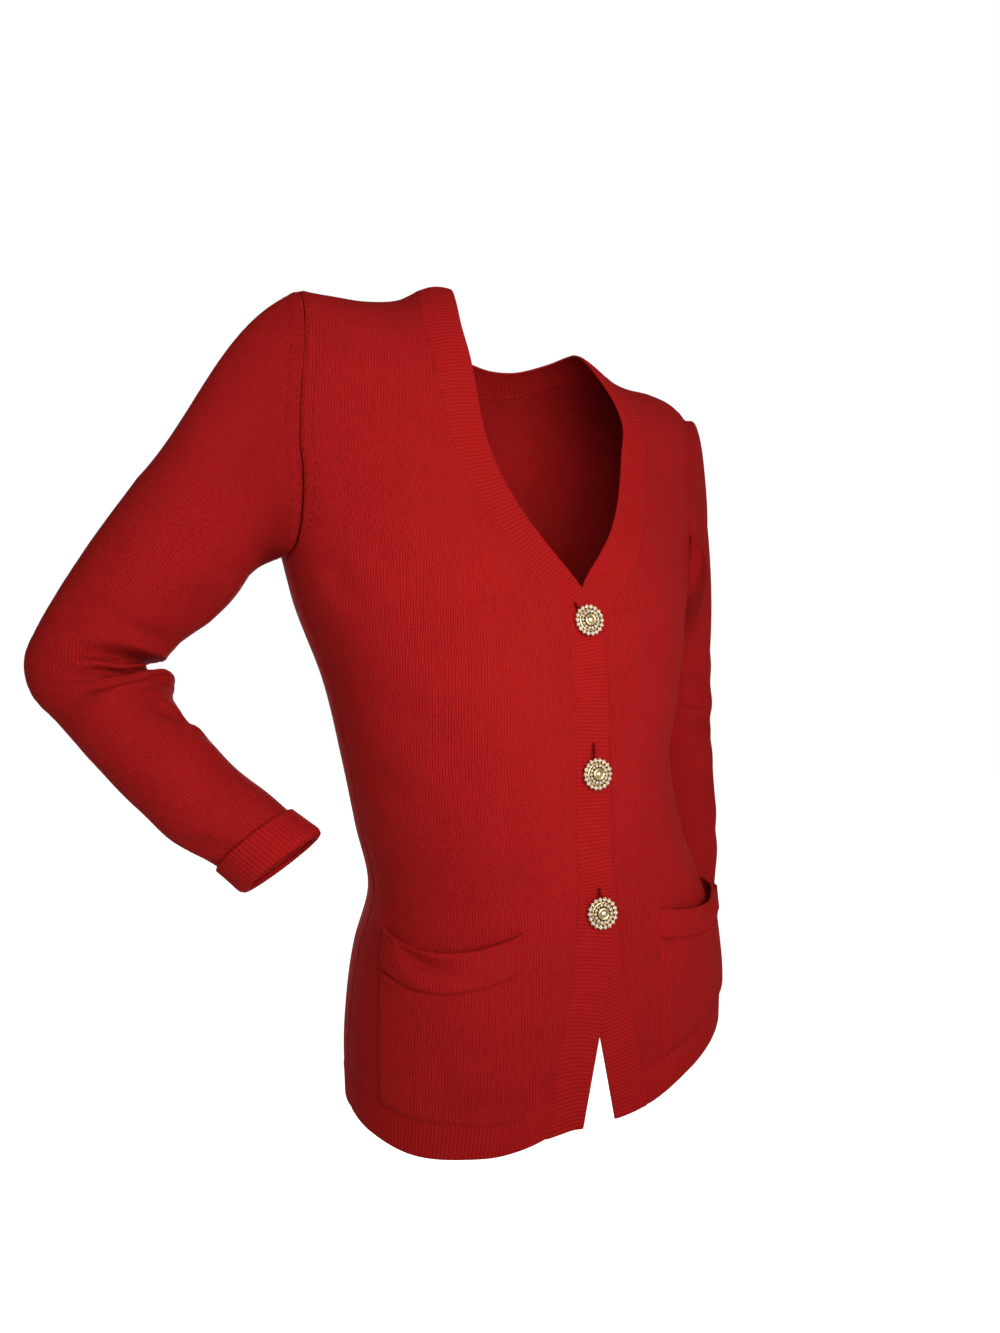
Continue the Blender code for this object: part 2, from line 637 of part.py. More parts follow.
def grid_mesh(name, grids, closed=False):
    """Joins grids of points, rows upwards, into one open surface facing outward."""
    form = bmesh.new()
    for grid in grids:
        rows = [[form.verts.new(Vector(point)) for point in row] for row in grid]
        for lower, upper in zip(rows, rows[1:]):
            count = len(lower)
            for index in range(count if closed else count - 1):
                after = (index + 1) % count
                form.faces.new((lower[index], lower[after], upper[after], upper[index]))
    bmesh.ops.remove_doubles(form, verts=form.verts, dist=0.00001)
    bmesh.ops.recalc_face_normals(form, faces=form.faces)
    mesh = bpy.data.meshes.new(name)
    form.to_mesh(mesh)
    form.free()
    return mesh


def face_outward(mesh, middle):
    """Turns an open surface so that it faces away from a point inside it."""
    score = sum((face.center - Vector(middle)).dot(face.normal) * face.area
                for face in mesh.polygons)
    if score < 0:
        mesh.flip_normals()


def cloth(name, grids, group, finish, middle, closed=False, way=1.0):
    """A cloth piece: a surface given thickness outward (way 1) or inward (way -1)."""
    mesh = grid_mesh(name, grids, closed)
    face_outward(mesh, middle)
    mesh.materials.append(finish)
    mesh.shade_smooth()
    piece = bpy.data.objects.new(name, mesh)
    group.objects.link(piece)
    shell = piece.modifiers.new("wall", "SOLIDIFY")
    shell.thickness = WALL
    shell.offset = way
    shell.use_even_offset = False
    return piece


def body_pieces(group, finish):
    middle = (0.0, 0.0, -0.33)
    for side in SIDES:
        cloth(f"front_{side}", [panel_rows(side, 1)], group, finish, middle)
        cloth(f"hem_front_{side}", [hem_rows(side, 1)], group, finish, middle)
    cloth("back", [panel_rows(side, -1) for side in SIDES], group, finish, middle)
    cloth("hem_back", [hem_rows(side, -1) for side in SIDES], group, finish, middle)


def bands(group, finish):
    for side in SIDES:
        lines = [band_places(side, BAND_WIDTH * share) if share else free_edge_places(side)
                 for share in (0.0, 0.35, 0.70, 1.0)]
        rows = []
        for places in zip(*lines):
            row = []
            for x, run in places:
                angle = angle_at(x if x else SIDES[side] * SEAM_GAP / 2, run)
                row.append(cloth_point(angle, run, front_lift(side, angle, run) - WALL))
            rows.append(row)
        cloth(f"band_{side}", [rows], group, finish, (0.0, 0.0, -0.33))


def sleeves(group, knit, rib):
    for side in SIDES:
        arm = Arm(side)
        rows = sleeve_rows(side, arm)
        piece = cloth(f"sleeve_{side}", [rows], group, knit, (0.0, 0.0, -0.3), closed=True,
                      way=-1.0)
        face_along(piece.data, arm)
        rows = cuff_rows(side, arm)
        mesh = grid_mesh(f"cuff_{side}", [rows + rows[:1]], closed=True)
        mesh.materials.append(rib)
        mesh.shade_smooth()
        group.objects.link(bpy.data.objects.new(f"cuff_{side}", mesh))


def face_along(mesh, arm):
    """Turns a sleeve so that its faces point away from the arm's path."""
    score = 0.0
    for face in mesh.polygons:
        centre = np.array(face.center)
        nearest = arm.points[np.argmin(np.linalg.norm(arm.points - centre, axis=1))]
        score += float((centre - nearest).dot(np.array(face.normal)))
    if score < 0:
        mesh.flip_normals()


def pocket_rows(side):
    """Rows of a pocket from its bottom to its mouth, made from the front moved out."""
    rows = []
    height = POCKET_TOP_INNER - POCKET_BOTTOM
    turn_share = 1 - POCKET_TURN / height
    turn_rows = (turn_share - POCKET_TURN_STEP, turn_share + POCKET_TURN_STEP)
    for share in POCKET_PLAIN_ROWS + turn_rows + POCKET_TOP_ROWS:
        row = []
        for column in range(POCKET_COLUMNS_COUNT + 1):
            across = column / POCKET_COLUMNS_COUNT
            middle = math.sin(math.pi * across)
            mouth = (POCKET_TOP_INNER + (POCKET_TOP_OUTER - POCKET_TOP_INNER) * across
                     - POCKET_SAG * middle)
            level = POCKET_BOTTOM + (mouth - POCKET_BOTTOM) * share
            angle, run = place_on_front(side, level,
                                        POCKET_INNER + (POCKET_OUTER - POCKET_INNER) * across)
            gape = smooth((share - POCKET_GAPE_FROM) / POCKET_GAPE_REACH)
            lift = (front_lift(side, angle, run) + POCKET_REST
                    + POCKET_GAPE * middle * gape**POCKET_GAPE_POWER)
            if share > turn_share:
                lift += POCKET_TURN_RISE
            row.append(cloth_point(angle, run, lift))
        rows.append(row)
    return rows


def pockets(group, finish):
    for side in SIDES:
        cloth(f"pocket_{side}", [pocket_rows(side)], group, finish, (0.0, 0.0, -0.5))


def button_seat(index):
    """Point of the right band's outer face under a button, and its outward direction."""
    run = run_at(BUTTON_HEIGHTS[index], 1)
    angle = angle_at(EDGE.at(run)["middle"], run)
    return cloth_point(angle, run, front_lift("right", angle, run)), form_normal(angle, run)


def seat_frame(point, normal):
    """Matrix that sets +Z along the outward direction and +Y up the band."""
    outward = Vector(normal)
    across = Vector((0.0, 0.0, 1.0)).cross(outward).normalized()
    up = outward.cross(across)
    turned = Matrix((across, up, outward)).transposed().to_4x4()
    return Matrix.Translation(Vector(point)) @ turned


def buttons(group, finish):
    """Turned buttons; each shank goes through its buttonhole to the left band."""
    gap = 2 * BAND_LIFT - WALL
    shank = BUTTON_REST + WALL + gap - SEAM_GAP
    outline = [(radius, height) for _, radius, height in BUTTON_OUTLINE]
    outline += [(SHANK_RADIUS, 0.0), (SHANK_RADIUS, -shank), (0.0, -shank)]
    for index in range(len(BUTTON_HEIGHTS)):
        name = f"button_{index + 1}"
        mesh = bpy.data.meshes.new(name)
        mesh.from_pydata([(radius, 0.0, height) for radius, height in outline],
                         [(step, step + 1) for step in range(len(outline) - 1)], [])
        mesh.materials.append(finish)
        piece = bpy.data.objects.new(name, mesh)
        point, normal = button_seat(index)
        piece.matrix_world = seat_frame(point + BUTTON_REST * normal, normal)
        group.objects.link(piece)
        turning = piece.modifiers.new("turning", "SCREW")
        turning.steps = BUTTON_STEPS
        turning.render_steps = BUTTON_STEPS
        turning.use_merge_vertices = True
        turning.merge_threshold = 0.00001
        turning.use_smooth_shade = True


def buttonholes(band, cutters):
    """Cuts the three upright slits through the right band."""
    for index in range(len(BUTTON_HEIGHTS)):
        name = f"slit_{index + 1}"
        form = bmesh.new()
        bmesh.ops.create_cone(form, cap_ends=True, segments=SLIT_SIDES, radius1=0.5,
                              radius2=0.5, depth=1.0)
        bmesh.ops.scale(form, vec=Vector((SLIT_WIDTH, SLIT_LENGTH, 6 * WALL)),
                        verts=form.verts)
        bmesh.ops.translate(form, vec=Vector((0.0, SLIT_RISE, -WALL / 2)), verts=form.verts)
        mesh = bpy.data.meshes.new(name)
        form.to_mesh(mesh)
        form.free()
        slit = bpy.data.objects.new(name, mesh)
        slit.matrix_world = seat_frame(*button_seat(index))
        slit.hide_render = True
        slit.display_type = "WIRE"
        cutters.objects.link(slit)
        cut = band.modifiers.new(name, "BOOLEAN")
        cut.operation = "DIFFERENCE"
        cut.object = slit


def build():
    clear_scene()
    group = collection("button_cardigan")
    cutters = collection("cutters")
    knit = material("red_knit", YARN_COLOUR, 0.90)
    rib = material("red_rib", YARN_COLOUR, 0.92)
    gold = material("gilt_metal", GILT_COLOUR, 0.25, metallic=1.0)
    body_pieces(group, knit)
    bands(group, rib)
    sleeves(group, knit, rib)
    pockets(group, knit)
    buttons(group, gold)
    buttonholes(bpy.data.objects["band_right"], cutters)


build()
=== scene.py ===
"""Button cardigan in fine red knit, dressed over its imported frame.

Metres, +Z up, the wearer faces -Y.  Every panel is taken from one smooth body form.
A place on it is given by `angle` (0 at the left side seam, 90 degrees at the centre,
180 at the right side seam) and by `run`, the way over the shoulder: 0 on the shoulder
line, positive down the front and negative down the back.
"""

import math

import bmesh
import bpy
import numpy as np
from bpy.props import FloatProperty, IntProperty, PointerProperty, StringProperty
from mathutils import Matrix, Vector


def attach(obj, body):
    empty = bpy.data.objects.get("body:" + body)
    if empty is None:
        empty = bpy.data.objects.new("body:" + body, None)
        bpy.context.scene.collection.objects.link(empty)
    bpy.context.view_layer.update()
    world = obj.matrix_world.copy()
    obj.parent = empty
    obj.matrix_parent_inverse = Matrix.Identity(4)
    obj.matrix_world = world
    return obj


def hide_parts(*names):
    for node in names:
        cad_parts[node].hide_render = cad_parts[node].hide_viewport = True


bl_info = {
    "name": "Button cardigan",
    "version": (1, 0, 0),
    "blender": (4, 5, 0),
    "location": "View3D > Sidebar > Cardigan",
    "description": "Makes a fine-knit cardigan with jewelled buttons over its frame",
    "category": "Object",
}

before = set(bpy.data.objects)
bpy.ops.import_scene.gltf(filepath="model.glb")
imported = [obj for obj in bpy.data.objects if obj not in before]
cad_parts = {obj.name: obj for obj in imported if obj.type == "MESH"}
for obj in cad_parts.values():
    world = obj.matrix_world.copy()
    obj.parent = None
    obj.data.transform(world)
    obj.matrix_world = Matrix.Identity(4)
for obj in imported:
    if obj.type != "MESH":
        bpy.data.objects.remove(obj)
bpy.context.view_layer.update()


# ---------------------------------------------------------------- the garment's sizes
SEAM_LAP = 0.0003             # sewn pieces reach into each other by this
SLEEVE_GAP = 0.0002
HEM_HEIGHT = -0.621
HEM_BAND = 0.026
BAND_WIDTH = 0.030
BAND_LIFT = 0.0014
BACK_NECK_RUN = 0.050
HEM_SLANT = 0.45              # of the bands' lower ends
FRONT_ROLL = 0.085
BACK_ROLL = 0.070
ARMPIT_HEIGHT = -0.217
ARMHOLE_TURN_HEIGHT = -0.140
ARMHOLE_REACH = 0.170
ARMHOLE_OUT = {"right": (0.176, 0.1825), "left": (0.194, 0.1770)}
SQUARENESS = 2.3
BUTTON_HEIGHTS = (-0.254, -0.367, -0.468)
BUTTON_REST = 0.0017
BUTTON_TURN = -7.0            # degrees from square to the band, about the upright
# Each button hangs this far across and up from the middle of its place.
BUTTON_SHIFTS = ((-0.0014, 0.0004), (-0.0012, 0.0014), (0.0004, 0.0018))
# Each buttonhole: way to the wearer's right of its button, and top above its middle.
SLITS = ((0.0040, 0.0215), (0.0020, 0.0245), (0.0006, 0.0205))
SLIT_WIDTH = 0.0036
SLIT_BELOW = 0.0060

# height, half width, front, back, middle's x and y, tilt and twist in degrees
BODY_SECTIONS = (
    (-0.640, 0.156, 0.110, 0.110, 0.011, -0.006, -5.5, -9.0),
    (-0.560, 0.157, 0.112, 0.110, 0.011, -0.005, -5.0, -9.0),
    (-0.500, 0.149, 0.113, 0.105, 0.011, -0.003, -3.5, -8.5),
    (-0.460, 0.137, 0.113, 0.100, 0.011, -0.001, -2.0, -7.5),
    (-0.410, 0.134, 0.113, 0.094, -0.004, 0.000, -0.5, -5.0),
    (-0.360, 0.137, 0.112, 0.090, -0.014, 0.000, 1.0, -2.5),
    (-0.300, 0.152, 0.109, 0.092, -0.016, 0.000, 2.0, -1.5),
    (-0.250, 0.169, 0.104, 0.097, -0.021, 0.000, 3.0, -0.5),
    (-0.200, 0.183, 0.091, 0.100, -0.022, 0.000, 4.0, 0.0),
    (-0.150, 0.192, 0.075, 0.100, -0.021, 0.000, 4.6, 0.0),
    (-0.100, 0.197, 0.063, 0.098, -0.020, 0.001, 5.0, 0.0),
    (-0.050, 0.203, 0.058, 0.092, -0.019, 0.002, 5.0, 0.0),
    (0.010, 0.206, 0.056, 0.084, -0.018, 0.003, 5.0, 0.0),
)
SHOULDER_LINE = (
    (0.000, 0.000), (0.040, 0.000), (0.068, 0.003), (0.098, 0.021),
    (0.125, 0.027), (0.155, 0.028), (0.182, 0.030), (0.215, 0.044),
)
LEFT_SHOULDER_RISES = ((0.0080, 0.142, 0.055), (0.0040, 0.092, 0.022))  # rise, place, reach
SHOULDER_FADE = 0.170
NECK_LEAN = 0.24
NECK_LEAN_REACH = 0.10
FRONT_SWING = (
    (0, 0.026), (30, 0.031), (60, 0.0165), (80, 0.003), (88, 0.003), (94, 0.004),
    (103, -0.0060), (114, -0.0112), (126, -0.0100), (142, -0.0060), (160, 0.0035), (180, 0.012),
)
BACK_SWING = ((0, 0.026), (50, 0.007), (90, 0.003), (130, 0.005), (180, 0.012))
SWING_TOP = -0.430
BUST_RISE = 0.010
BUST_OUT = 0.078
BUST_HEIGHT = -0.215
BUST_SPREAD = 0.050
# run, way out from the placket's middle, and the placket's middle
FREE_EDGE = (
    (0.000, 0.0605, 0.0075), (0.018, 0.0603, 0.0072), (0.040, 0.0627, 0.0042),
    (0.064, 0.0663, 0.0040), (0.090, 0.0728, 0.0090), (0.115, 0.0737, 0.0132),
    (0.140, 0.0698, 0.0132), (0.165, 0.0655, 0.0121), (0.190, 0.0581, 0.0111),
    (0.215, 0.0463, 0.0102), (0.238, 0.0310, 0.0097), (0.262, 0.0110, 0.0102),
    (0.280, -0.0010, 0.0115), (0.302, -0.0090, 0.0118),
    (0.335, -0.013, 0.011), (0.420, -0.013, 0.010), (0.520, -0.012, -0.002),
    (0.570, -0.006, 0.000), (0.600, 0.000, 0.000), (0.640, 0.008, 0.000),
    (0.680, 0.016, 0.000),
)
PANEL_LEVELS = (-0.566, -0.536, -0.505, -0.478, -0.456, -0.434, -0.404, -0.370, -0.337,
                -0.306, -0.279, -0.256, -0.236)
FRONT_NECK_RUNS = (0.244, 0.220, 0.194, 0.168, 0.142, 0.116, 0.090, 0.064, 0.040, 0.018,
                   0.0)
FRONT_ARM_RUNS = (0.150, 0.116, 0.082, 0.048, 0.020, 0.0)
BACK_CENTRE_RUNS = (0.222, 0.198, 0.174, 0.150, 0.126, 0.104)
BACK_NECK_TURNS = (0.0, 22.0, 46.0, 68.0, 90.0)
BACK_ARM_RUNS = (0.140, 0.104, 0.072, 0.044, 0.020, 0.0)
ARMHOLE_UNDER_STEPS = 5
ARMHOLE_STATIONS = 11         # last station of an armhole line, on the shoulder
EDGE_STATIONS = 30            # last station of a free edge, at the centre back
V_STATIONS = (10.5, 16.5)     # of the fronts, about the foot of the V

ARM_PATHS = {
    "right": ((-0.182, 0.006, -0.083), (-0.3525, 0.063, -0.292), (-0.2171, -0.0385, -0.4220)),
    "left": ((0.192, 0.016, -0.090), (0.219, 0.072, -0.330), (0.232, 0.060, -0.530)),
}
ELBOW_BEND = 0.075
# share of the way along the arm, then half sizes in the plane of its bend and across
SLEEVE_SECTIONS = {
    "right": (
        (0.00, 0.056, 0.062), (0.18, 0.053, 0.055), (0.34, 0.0440, 0.048),
        (0.48, 0.038, 0.044), (0.58, 0.0345, 0.042), (0.66, 0.0315, 0.040),
        (0.78, 0.033, 0.037), (0.90, 0.032, 0.033), (1.00, 0.027, 0.029),
    ),
    "left": (
        (0.00, 0.050, 0.044), (0.20, 0.048, 0.042), (0.40, 0.045, 0.042),
        (0.60, 0.042, 0.040), (0.80, 0.037, 0.036), (1.00, 0.033, 0.033),
    ),
}
HEAD_SHARE = {"right": 0.29, "left": 0.40}
HEAD_SLOPE = {"right": 0.52, "left": 0.15}
CROWN_RISE = 0.35
UNDERARM_OUT = {"right": 0.9, "left": 1.1}
# share, rise, reach along, middle and spread round the arm in degrees
SLEEVE_FOLDS = {
    "right": (
        (0.520, 0.004, 0.022, 180, 75), (0.560, -0.007, 0.018, 180, 85),
        (0.592, 0.003, 0.014, 180, 60), (0.624, -0.006, 0.018, 170, 80),
        (0.660, 0.005, 0.020, 180, 70), (0.700, -0.004, 0.020, 190, 60),
        (0.760, 0.004, 0.030, 185, 60), (0.850, -0.003, 0.040, 150, 60),
    ),
    "left": (
        (0.480, -0.003, 0.030, 180, 70), (0.560, -0.004, 0.025, 180, 80),
        (0.640, 0.003, 0.030, 170, 70), (0.300, -0.003, 0.050, 210, 60),
    ),
}
# For each side: the turn about the arm in degrees, then shares and rises of the cloth
# that hangs fuller or lies closer there.
SLEEVE_FULLNESS = {
    "right": (
        (20, ((0.29, -0.0020), (0.35, -0.0020), (0.41, -0.0030), (0.47, -0.0050),
              (0.50, -0.0045), (0.53, -0.0015), (0.56, 0.0038), (0.59, 0.0025),
              (0.62, -0.0035), (0.65, -0.0050), (0.68, -0.0040), (0.74, -0.0015),
              (0.80, 0.0000), (0.86, 0.0020), (0.92, -0.0010), (1.00, 0.0000))),
        (200, ((0.29, 0.0095), (0.32, 0.0135), (0.35, 0.0155), (0.38, 0.0155),
               (0.41, 0.0135), (0.44, 0.0122), (0.47, 0.0130), (0.50, 0.0118),
               (0.53, 0.0068), (0.56, 0.0050), (0.59, 0.0025), (0.62, 0.0085),
               (0.65, 0.0152), (0.68, 0.0156), (0.705, 0.0110), (0.735, 0.0000),
               (0.80, -0.0015), (0.92, -0.0020), (1.00, 0.0000))),
    ),
    "left": (
        (230, ((0.40, -0.0020), (0.43, 0.0000), (0.46, 0.0015), (0.52, 0.0035),
               (0.55, 0.0045), (0.61, 0.0020), (0.67, 0.0040), (0.76, 0.0057),
               (0.82, 0.0058), (0.88, 0.0042), (0.94, 0.0005), (1.00, -0.0015))),
    ),
}
FULLNESS_SPREAD = math.radians(65)
HEAD_FULLNESS = {"right": 0.0, "left": 0.0150}   # at the outside of the head
HEAD_TURN = 277
HEAD_PULL = {"right": 1.0, "left": 1.1}          # how far the head keeps its first direction
WRIST_SLANT = {"right": 0.007, "left": 0.0}
WRIST_SLANT_FROM = 0.70
CUFF_LENGTH = 0.026
CUFF_WALL = 0.0024
CUFF_FLARE = 0.0022
CUFF_LIP = 0.0030

POCKET_INNER = 0.038
POCKET_OUTER = 0.156
POCKET_BOTTOM = -0.594
POCKET_TOP_INNER = -0.472
POCKET_TOP_OUTER = -0.475
POCKET_SAG = 0.010
POCKET_GAPE = {"right": 0.0065, "left": 0.0065}
POCKET_REST = 0.0008
POCKET_TURN = 0.0240

SIDES = {"right": -1.0, "left": 1.0}
SIDE_ANGLES = {"right": math.pi, "left": 0.0}

# Soft folds of the cloth.  Each row: the pieces crossed, the fold's start, middle and end,
# its rise (in is negative), half width, and the share of its length where it is strongest.
# Places are the way round from the centre line (towards the right side) and the run.
BODY_FOLDS = (
    (("front_right",), (0.192, 0.262), (0.173, 0.292), (0.148, 0.314), -0.0018, 0.009, 0.30),
    (("front_right",), (0.179, 0.350), (0.128, 0.378), (0.080, 0.398), -0.0016, 0.013, 0.45),
    (("front_right",), (0.186, 0.400), (0.140, 0.428), (0.080, 0.437), -0.0013, 0.011, 0.35),
    (("front_right",), (0.105, 0.165), (0.094, 0.235), (0.066, 0.288), -0.0010, 0.016, 0.60),
    (("front_right",), (0.168, 0.070), (0.156, 0.098), (0.118, 0.107), -0.0011, 0.010, 0.35),
    (("front_right", "hem_front_right", "pocket_right"),
     (0.160, 0.632), (0.091, 0.628), (0.030, 0.629), -0.0020, 0.0070, 0.60),
    (("front_left", "hem_front_left"),
     (-0.036, 0.560), (-0.048, 0.610), (-0.054, 0.650), -0.0034, 0.013, 0.50),
    (("front_left", "band_left"),
     (-0.010, 0.525), (-0.026, 0.570), (-0.035, 0.605), -0.0026, 0.0070, 0.55),
    (("front_left",), (-0.092, 0.545), (-0.058, 0.560), (-0.036, 0.588), -0.0018, 0.010, 0.60),
    (("front_left",), (-0.070, 0.240), (-0.080, 0.310), (-0.086, 0.374), -0.0013, 0.012, 0.50),
    (("front_left",), (-0.176, 0.268), (-0.150, 0.296), (-0.122, 0.312), -0.0017, 0.009, 0.30),
    (("front_left",), (-0.186, 0.382), (-0.130, 0.402), (-0.070, 0.404), -0.0014, 0.011, 0.40),
    (("pocket_right",), (0.154, 0.528), (0.128, 0.541), (0.078, 0.544), -0.0050, 0.0050, 0.45),
    (("pocket_right",), (0.082, 0.533), (0.064, 0.528), (0.050, 0.520), -0.0010, 0.0050, 0.50),
    (("pocket_right",), (0.130, 0.585), (0.120, 0.606), (0.116, 0.628), -0.0010, 0.008, 0.50),
    (("pocket_left",), (-0.150, 0.520), (-0.125, 0.535), (-0.084, 0.540), -0.0030, 0.006, 0.50),
    (("back",), (0.176, -0.255), (0.142, -0.288), (0.098, -0.306), -0.0022, 0.010, 0.25),
    (("back",), (-0.172, -0.262), (-0.134, -0.292), (-0.086, -0.303), -0.0019, 0.009, 0.30),
    (("back",), (0.118, -0.392), (0.030, -0.405), (-0.052, -0.396), -0.0026, 0.0085, 0.55),
    (("back",), (0.060, -0.424), (-0.022, -0.436), (-0.108, -0.420), -0.0022, 0.0075, 0.45),
    (("back",), (0.140, -0.440), (0.085, -0.452), (0.020, -0.449), -0.0015, 0.0090, 0.40),
    (("back", "hem_back"), (0.070, -0.530), (0.082, -0.590), (0.086, -0.655),
     -0.0026, 0.014, 0.70),
    (("back", "hem_back"), (-0.052, -0.520), (-0.060, -0.580), (-0.056, -0.650),
     -0.0021, 0.012, 0.65),
    (("back",), (0.050, -0.130), (0.010, -0.152), (-0.046, -0.140), -0.0015, 0.010, 0.50),
)
# The same for the sleeves; places are the share of the arm's way and the turn about it.
SLEEVE_CREASES = {
    "right": (
        ((0.556, 198), (0.585, 160), (0.582, 122), -0.0058, 0.0028, 0.25),
        ((0.640, 174), (0.602, 121), (0.564, 50), -0.0050, 0.0036, 0.40),
        ((0.690, 186), (0.642, 133), (0.606, 78), -0.0048, 0.0040, 0.30),
        ((0.700, 170), (0.677, 129), (0.645, 98), -0.0010, 0.0045, 0.40),
        ((0.760, 198), (0.735, 158), (0.700, 142), -0.0036, 0.0050, 0.30),
        ((0.794, 196), (0.781, 168), (0.766, 152), -0.0016, 0.0045, 0.40),
        ((0.856, 10), (0.903, 47), (0.953, 86), -0.0026, 0.0065, 0.50),
        ((0.330, 182), (0.385, 160), (0.465, 148), -0.0024, 0.012, 0.40),
        ((0.530, 46), (0.492, 104), (0.476, 172), -0.0020, 0.010, 0.65),
        ((0.442, 190), (0.469, 158), (0.483, 130), -0.0026, 0.008, 0.35),
        ((0.560, 204), (0.592, 240), (0.574, 296), -0.0040, 0.0036, 0.20),
        ((0.668, 204), (0.646, 238), (0.612, 284), -0.0028, 0.0046, 0.35),
        ((0.510, 216), (0.500, 255), (0.520, 312), -0.0021, 0.009, 0.45),
        ((0.742, 208), (0.722, 236), (0.700, 262), -0.0022, 0.005, 0.30),
        ((0.360, 214), (0.420, 250), (0.470, 292), -0.0018, 0.012, 0.50),
    ),
    "left": (
        ((0.500, 140), (0.532, 185), (0.520, 236), -0.0028, 0.0050, 0.50),
        ((0.590, 150), (0.572, 200), (0.550, 246), -0.0024, 0.0060, 0.45),
        ((0.665, 132), (0.634, 180), (0.618, 226), -0.0018, 0.0080, 0.50),
        ((0.430, 160), (0.462, 196), (0.470, 240), -0.0016, 0.0070, 0.40),
        ((0.430, 60), (0.480, 92), (0.560, 112), -0.0014, 0.0120, 0.40),
        ((0.860, 190), (0.810, 246), (0.780, 300), -0.0014, 0.0090, 0.50),
    ),
}
ELBOW_ROWS = {"right": (0.62, 0.12), "left": (0.56, 0.10)}    # rows lie closest here
CREASE_RADIUS = 0.042         # of the arm, where its creases are measured


# ---------------------------------------------------------------- small helpers
class Curve:
    """A table read as smooth curves of its first column."""

    def __init__(self, rows):
        table = np.array(rows, float)
        self.keys, self.values = table[:, 0], table[:, 1:]
        steps = np.diff(self.keys)[:, None]
        slopes = np.diff(self.values, axis=0) / steps
        inner = (slopes[1:] * steps[:-1] + slopes[:-1] * steps[1:]) / (steps[1:] + steps[:-1])
        self.slopes = np.vstack([slopes[:1], inner, slopes[-1:]])

    def __call__(self, key):
        """The other columns at these keys, one array each."""
        key = np.clip(key, self.keys[0], self.keys[-1])
        index = np.clip(np.searchsorted(self.keys, key, side="right") - 1, 0,
                        len(self.keys) - 2)
        step = (self.keys[index + 1] - self.keys[index])[..., None]
        t = (key - self.keys[index])[..., None] / step
        value = ((2 * t**3 - 3 * t**2 + 1) * self.values[index]
                 + (t**3 - 2 * t**2 + t) * step * self.slopes[index]
                 + (3 * t**2 - 2 * t**3) * self.values[index + 1]
                 + (t**3 - t**2) * step * self.slopes[index + 1])
        return np.moveaxis(value, -1, 0)


BODY = Curve(BODY_SECTIONS)
SHOULDER = Curve(SHOULDER_LINE)
EDGE = Curve(FREE_EDGE)
SWINGS = (Curve(FRONT_SWING), Curve(BACK_SWING))


def ease(value):
    """From 0 to 1 as value goes from 0 to 1."""
    value = np.clip(value, 0.0, 1.0)
    return value * value * (3 - 2 * value)


def hump(value, at, width):
    """A smooth hump of height 1 about a place."""
    return np.exp(-((value - at) / width) ** 2)


def signed_power(value, power):
    return np.sign(value) * np.abs(value) ** power


def dot(a, b):
    return (a * b).sum(-1, keepdims=True)


def unit(vectors):
    return vectors / np.maximum(np.linalg.norm(vectors, axis=-1, keepdims=True), 1e-12)


def lengths_along(points, axis=0):
    """Way from the first point along this axis."""
    steps = np.linalg.norm(np.diff(points, axis=axis), axis=-1)
    start = np.zeros_like(np.take(steps, [0], axis=axis))
    return np.concatenate([start, np.cumsum(steps, axis=axis)], axis=axis)


def at_ways(at, ways, rows):
    """Points at these ways along a row of points."""
    return np.stack([np.interp(at, ways, column) for column in rows.T], -1)


def hermite(t, start, leave, end, arrive):
    return ((2 * t**3 - 3 * t**2 + 1) * start + (t**3 - 2 * t**2 + t) * leave
            + (3 * t**2 - 2 * t**3) * end + (t**3 - t**2) * arrive)


# ---------------------------------------------------------------- the body form
def over_shoulder(run):
    """Height below the shoulder line, and share of the full depth, at this run."""
    roll = np.where(run >= 0, FRONT_ROLL, BACK_ROLL)
    turn = np.minimum(np.abs(run) / roll, math.pi / 2)
    height = -roll * (1 - np.cos(turn)) - np.maximum(np.abs(run) - roll * math.pi / 2, 0.0)
    return height, np.sin(turn)


def run_at(height, face):
    """Run of a level below the rounded shoulder, on the front (1) or the back (-1)."""
    roll = FRONT_ROLL if face > 0 else BACK_ROLL
    return face * (roll * math.pi / 2 - height - roll)


def form_point(angle, run):
    """Points of the body form."""
    angle, run = np.broadcast_arrays(angle, run)
    height, share = over_shoulder(run)
    half, front, back, middle_x, middle_y, tilt, twist = BODY(height)
    across = half * signed_power(np.cos(angle), 2 / SQUARENESS)
    forward = signed_power(np.sin(angle), 2 / SQUARENESS) * share
    bust = BUST_RISE * np.exp(-((np.abs(across) - BUST_OUT) / BUST_SPREAD) ** 2
                              - ((height - BUST_HEIGHT) / BUST_SPREAD) ** 2)
    deep = np.where(run >= 0, -front * forward - bust, back * forward)
    lean = NECK_LEAN * across * hump(across, 0.0, NECK_LEAN_REACH)
    left = sum(rise * hump(across, at, reach) for rise, at, reach in LEFT_SHOULDER_RISES)
    fall = (SHOULDER(np.abs(across))[0] + lean - left) * (1 - ease(-height / SHOULDER_FADE))
    swing = np.where(run >= 0, *(curve(np.degrees(angle))[0] for curve in SWINGS))
    swing = swing * ease((SWING_TOP - height) / (SWING_TOP - HEM_HEIGHT))
    twist = np.radians(twist)
    x = across * np.cos(twist) - deep * np.sin(twist)
    y = across * np.sin(twist) + deep * np.cos(twist)
    z = height + swing - fall - x * np.tan(np.radians(tilt))
    return np.stack([x + middle_x, y + middle_y, z], axis=-1)


def form_normal(angle, run):
    """Outward directions of the body form."""
    small = 0.0008
    along = form_point(angle + small * 6, run) - form_point(angle - small * 6, run)
    down = form_point(angle, run + small) - form_point(angle, run - small)
    return unit(np.cross(along, down))


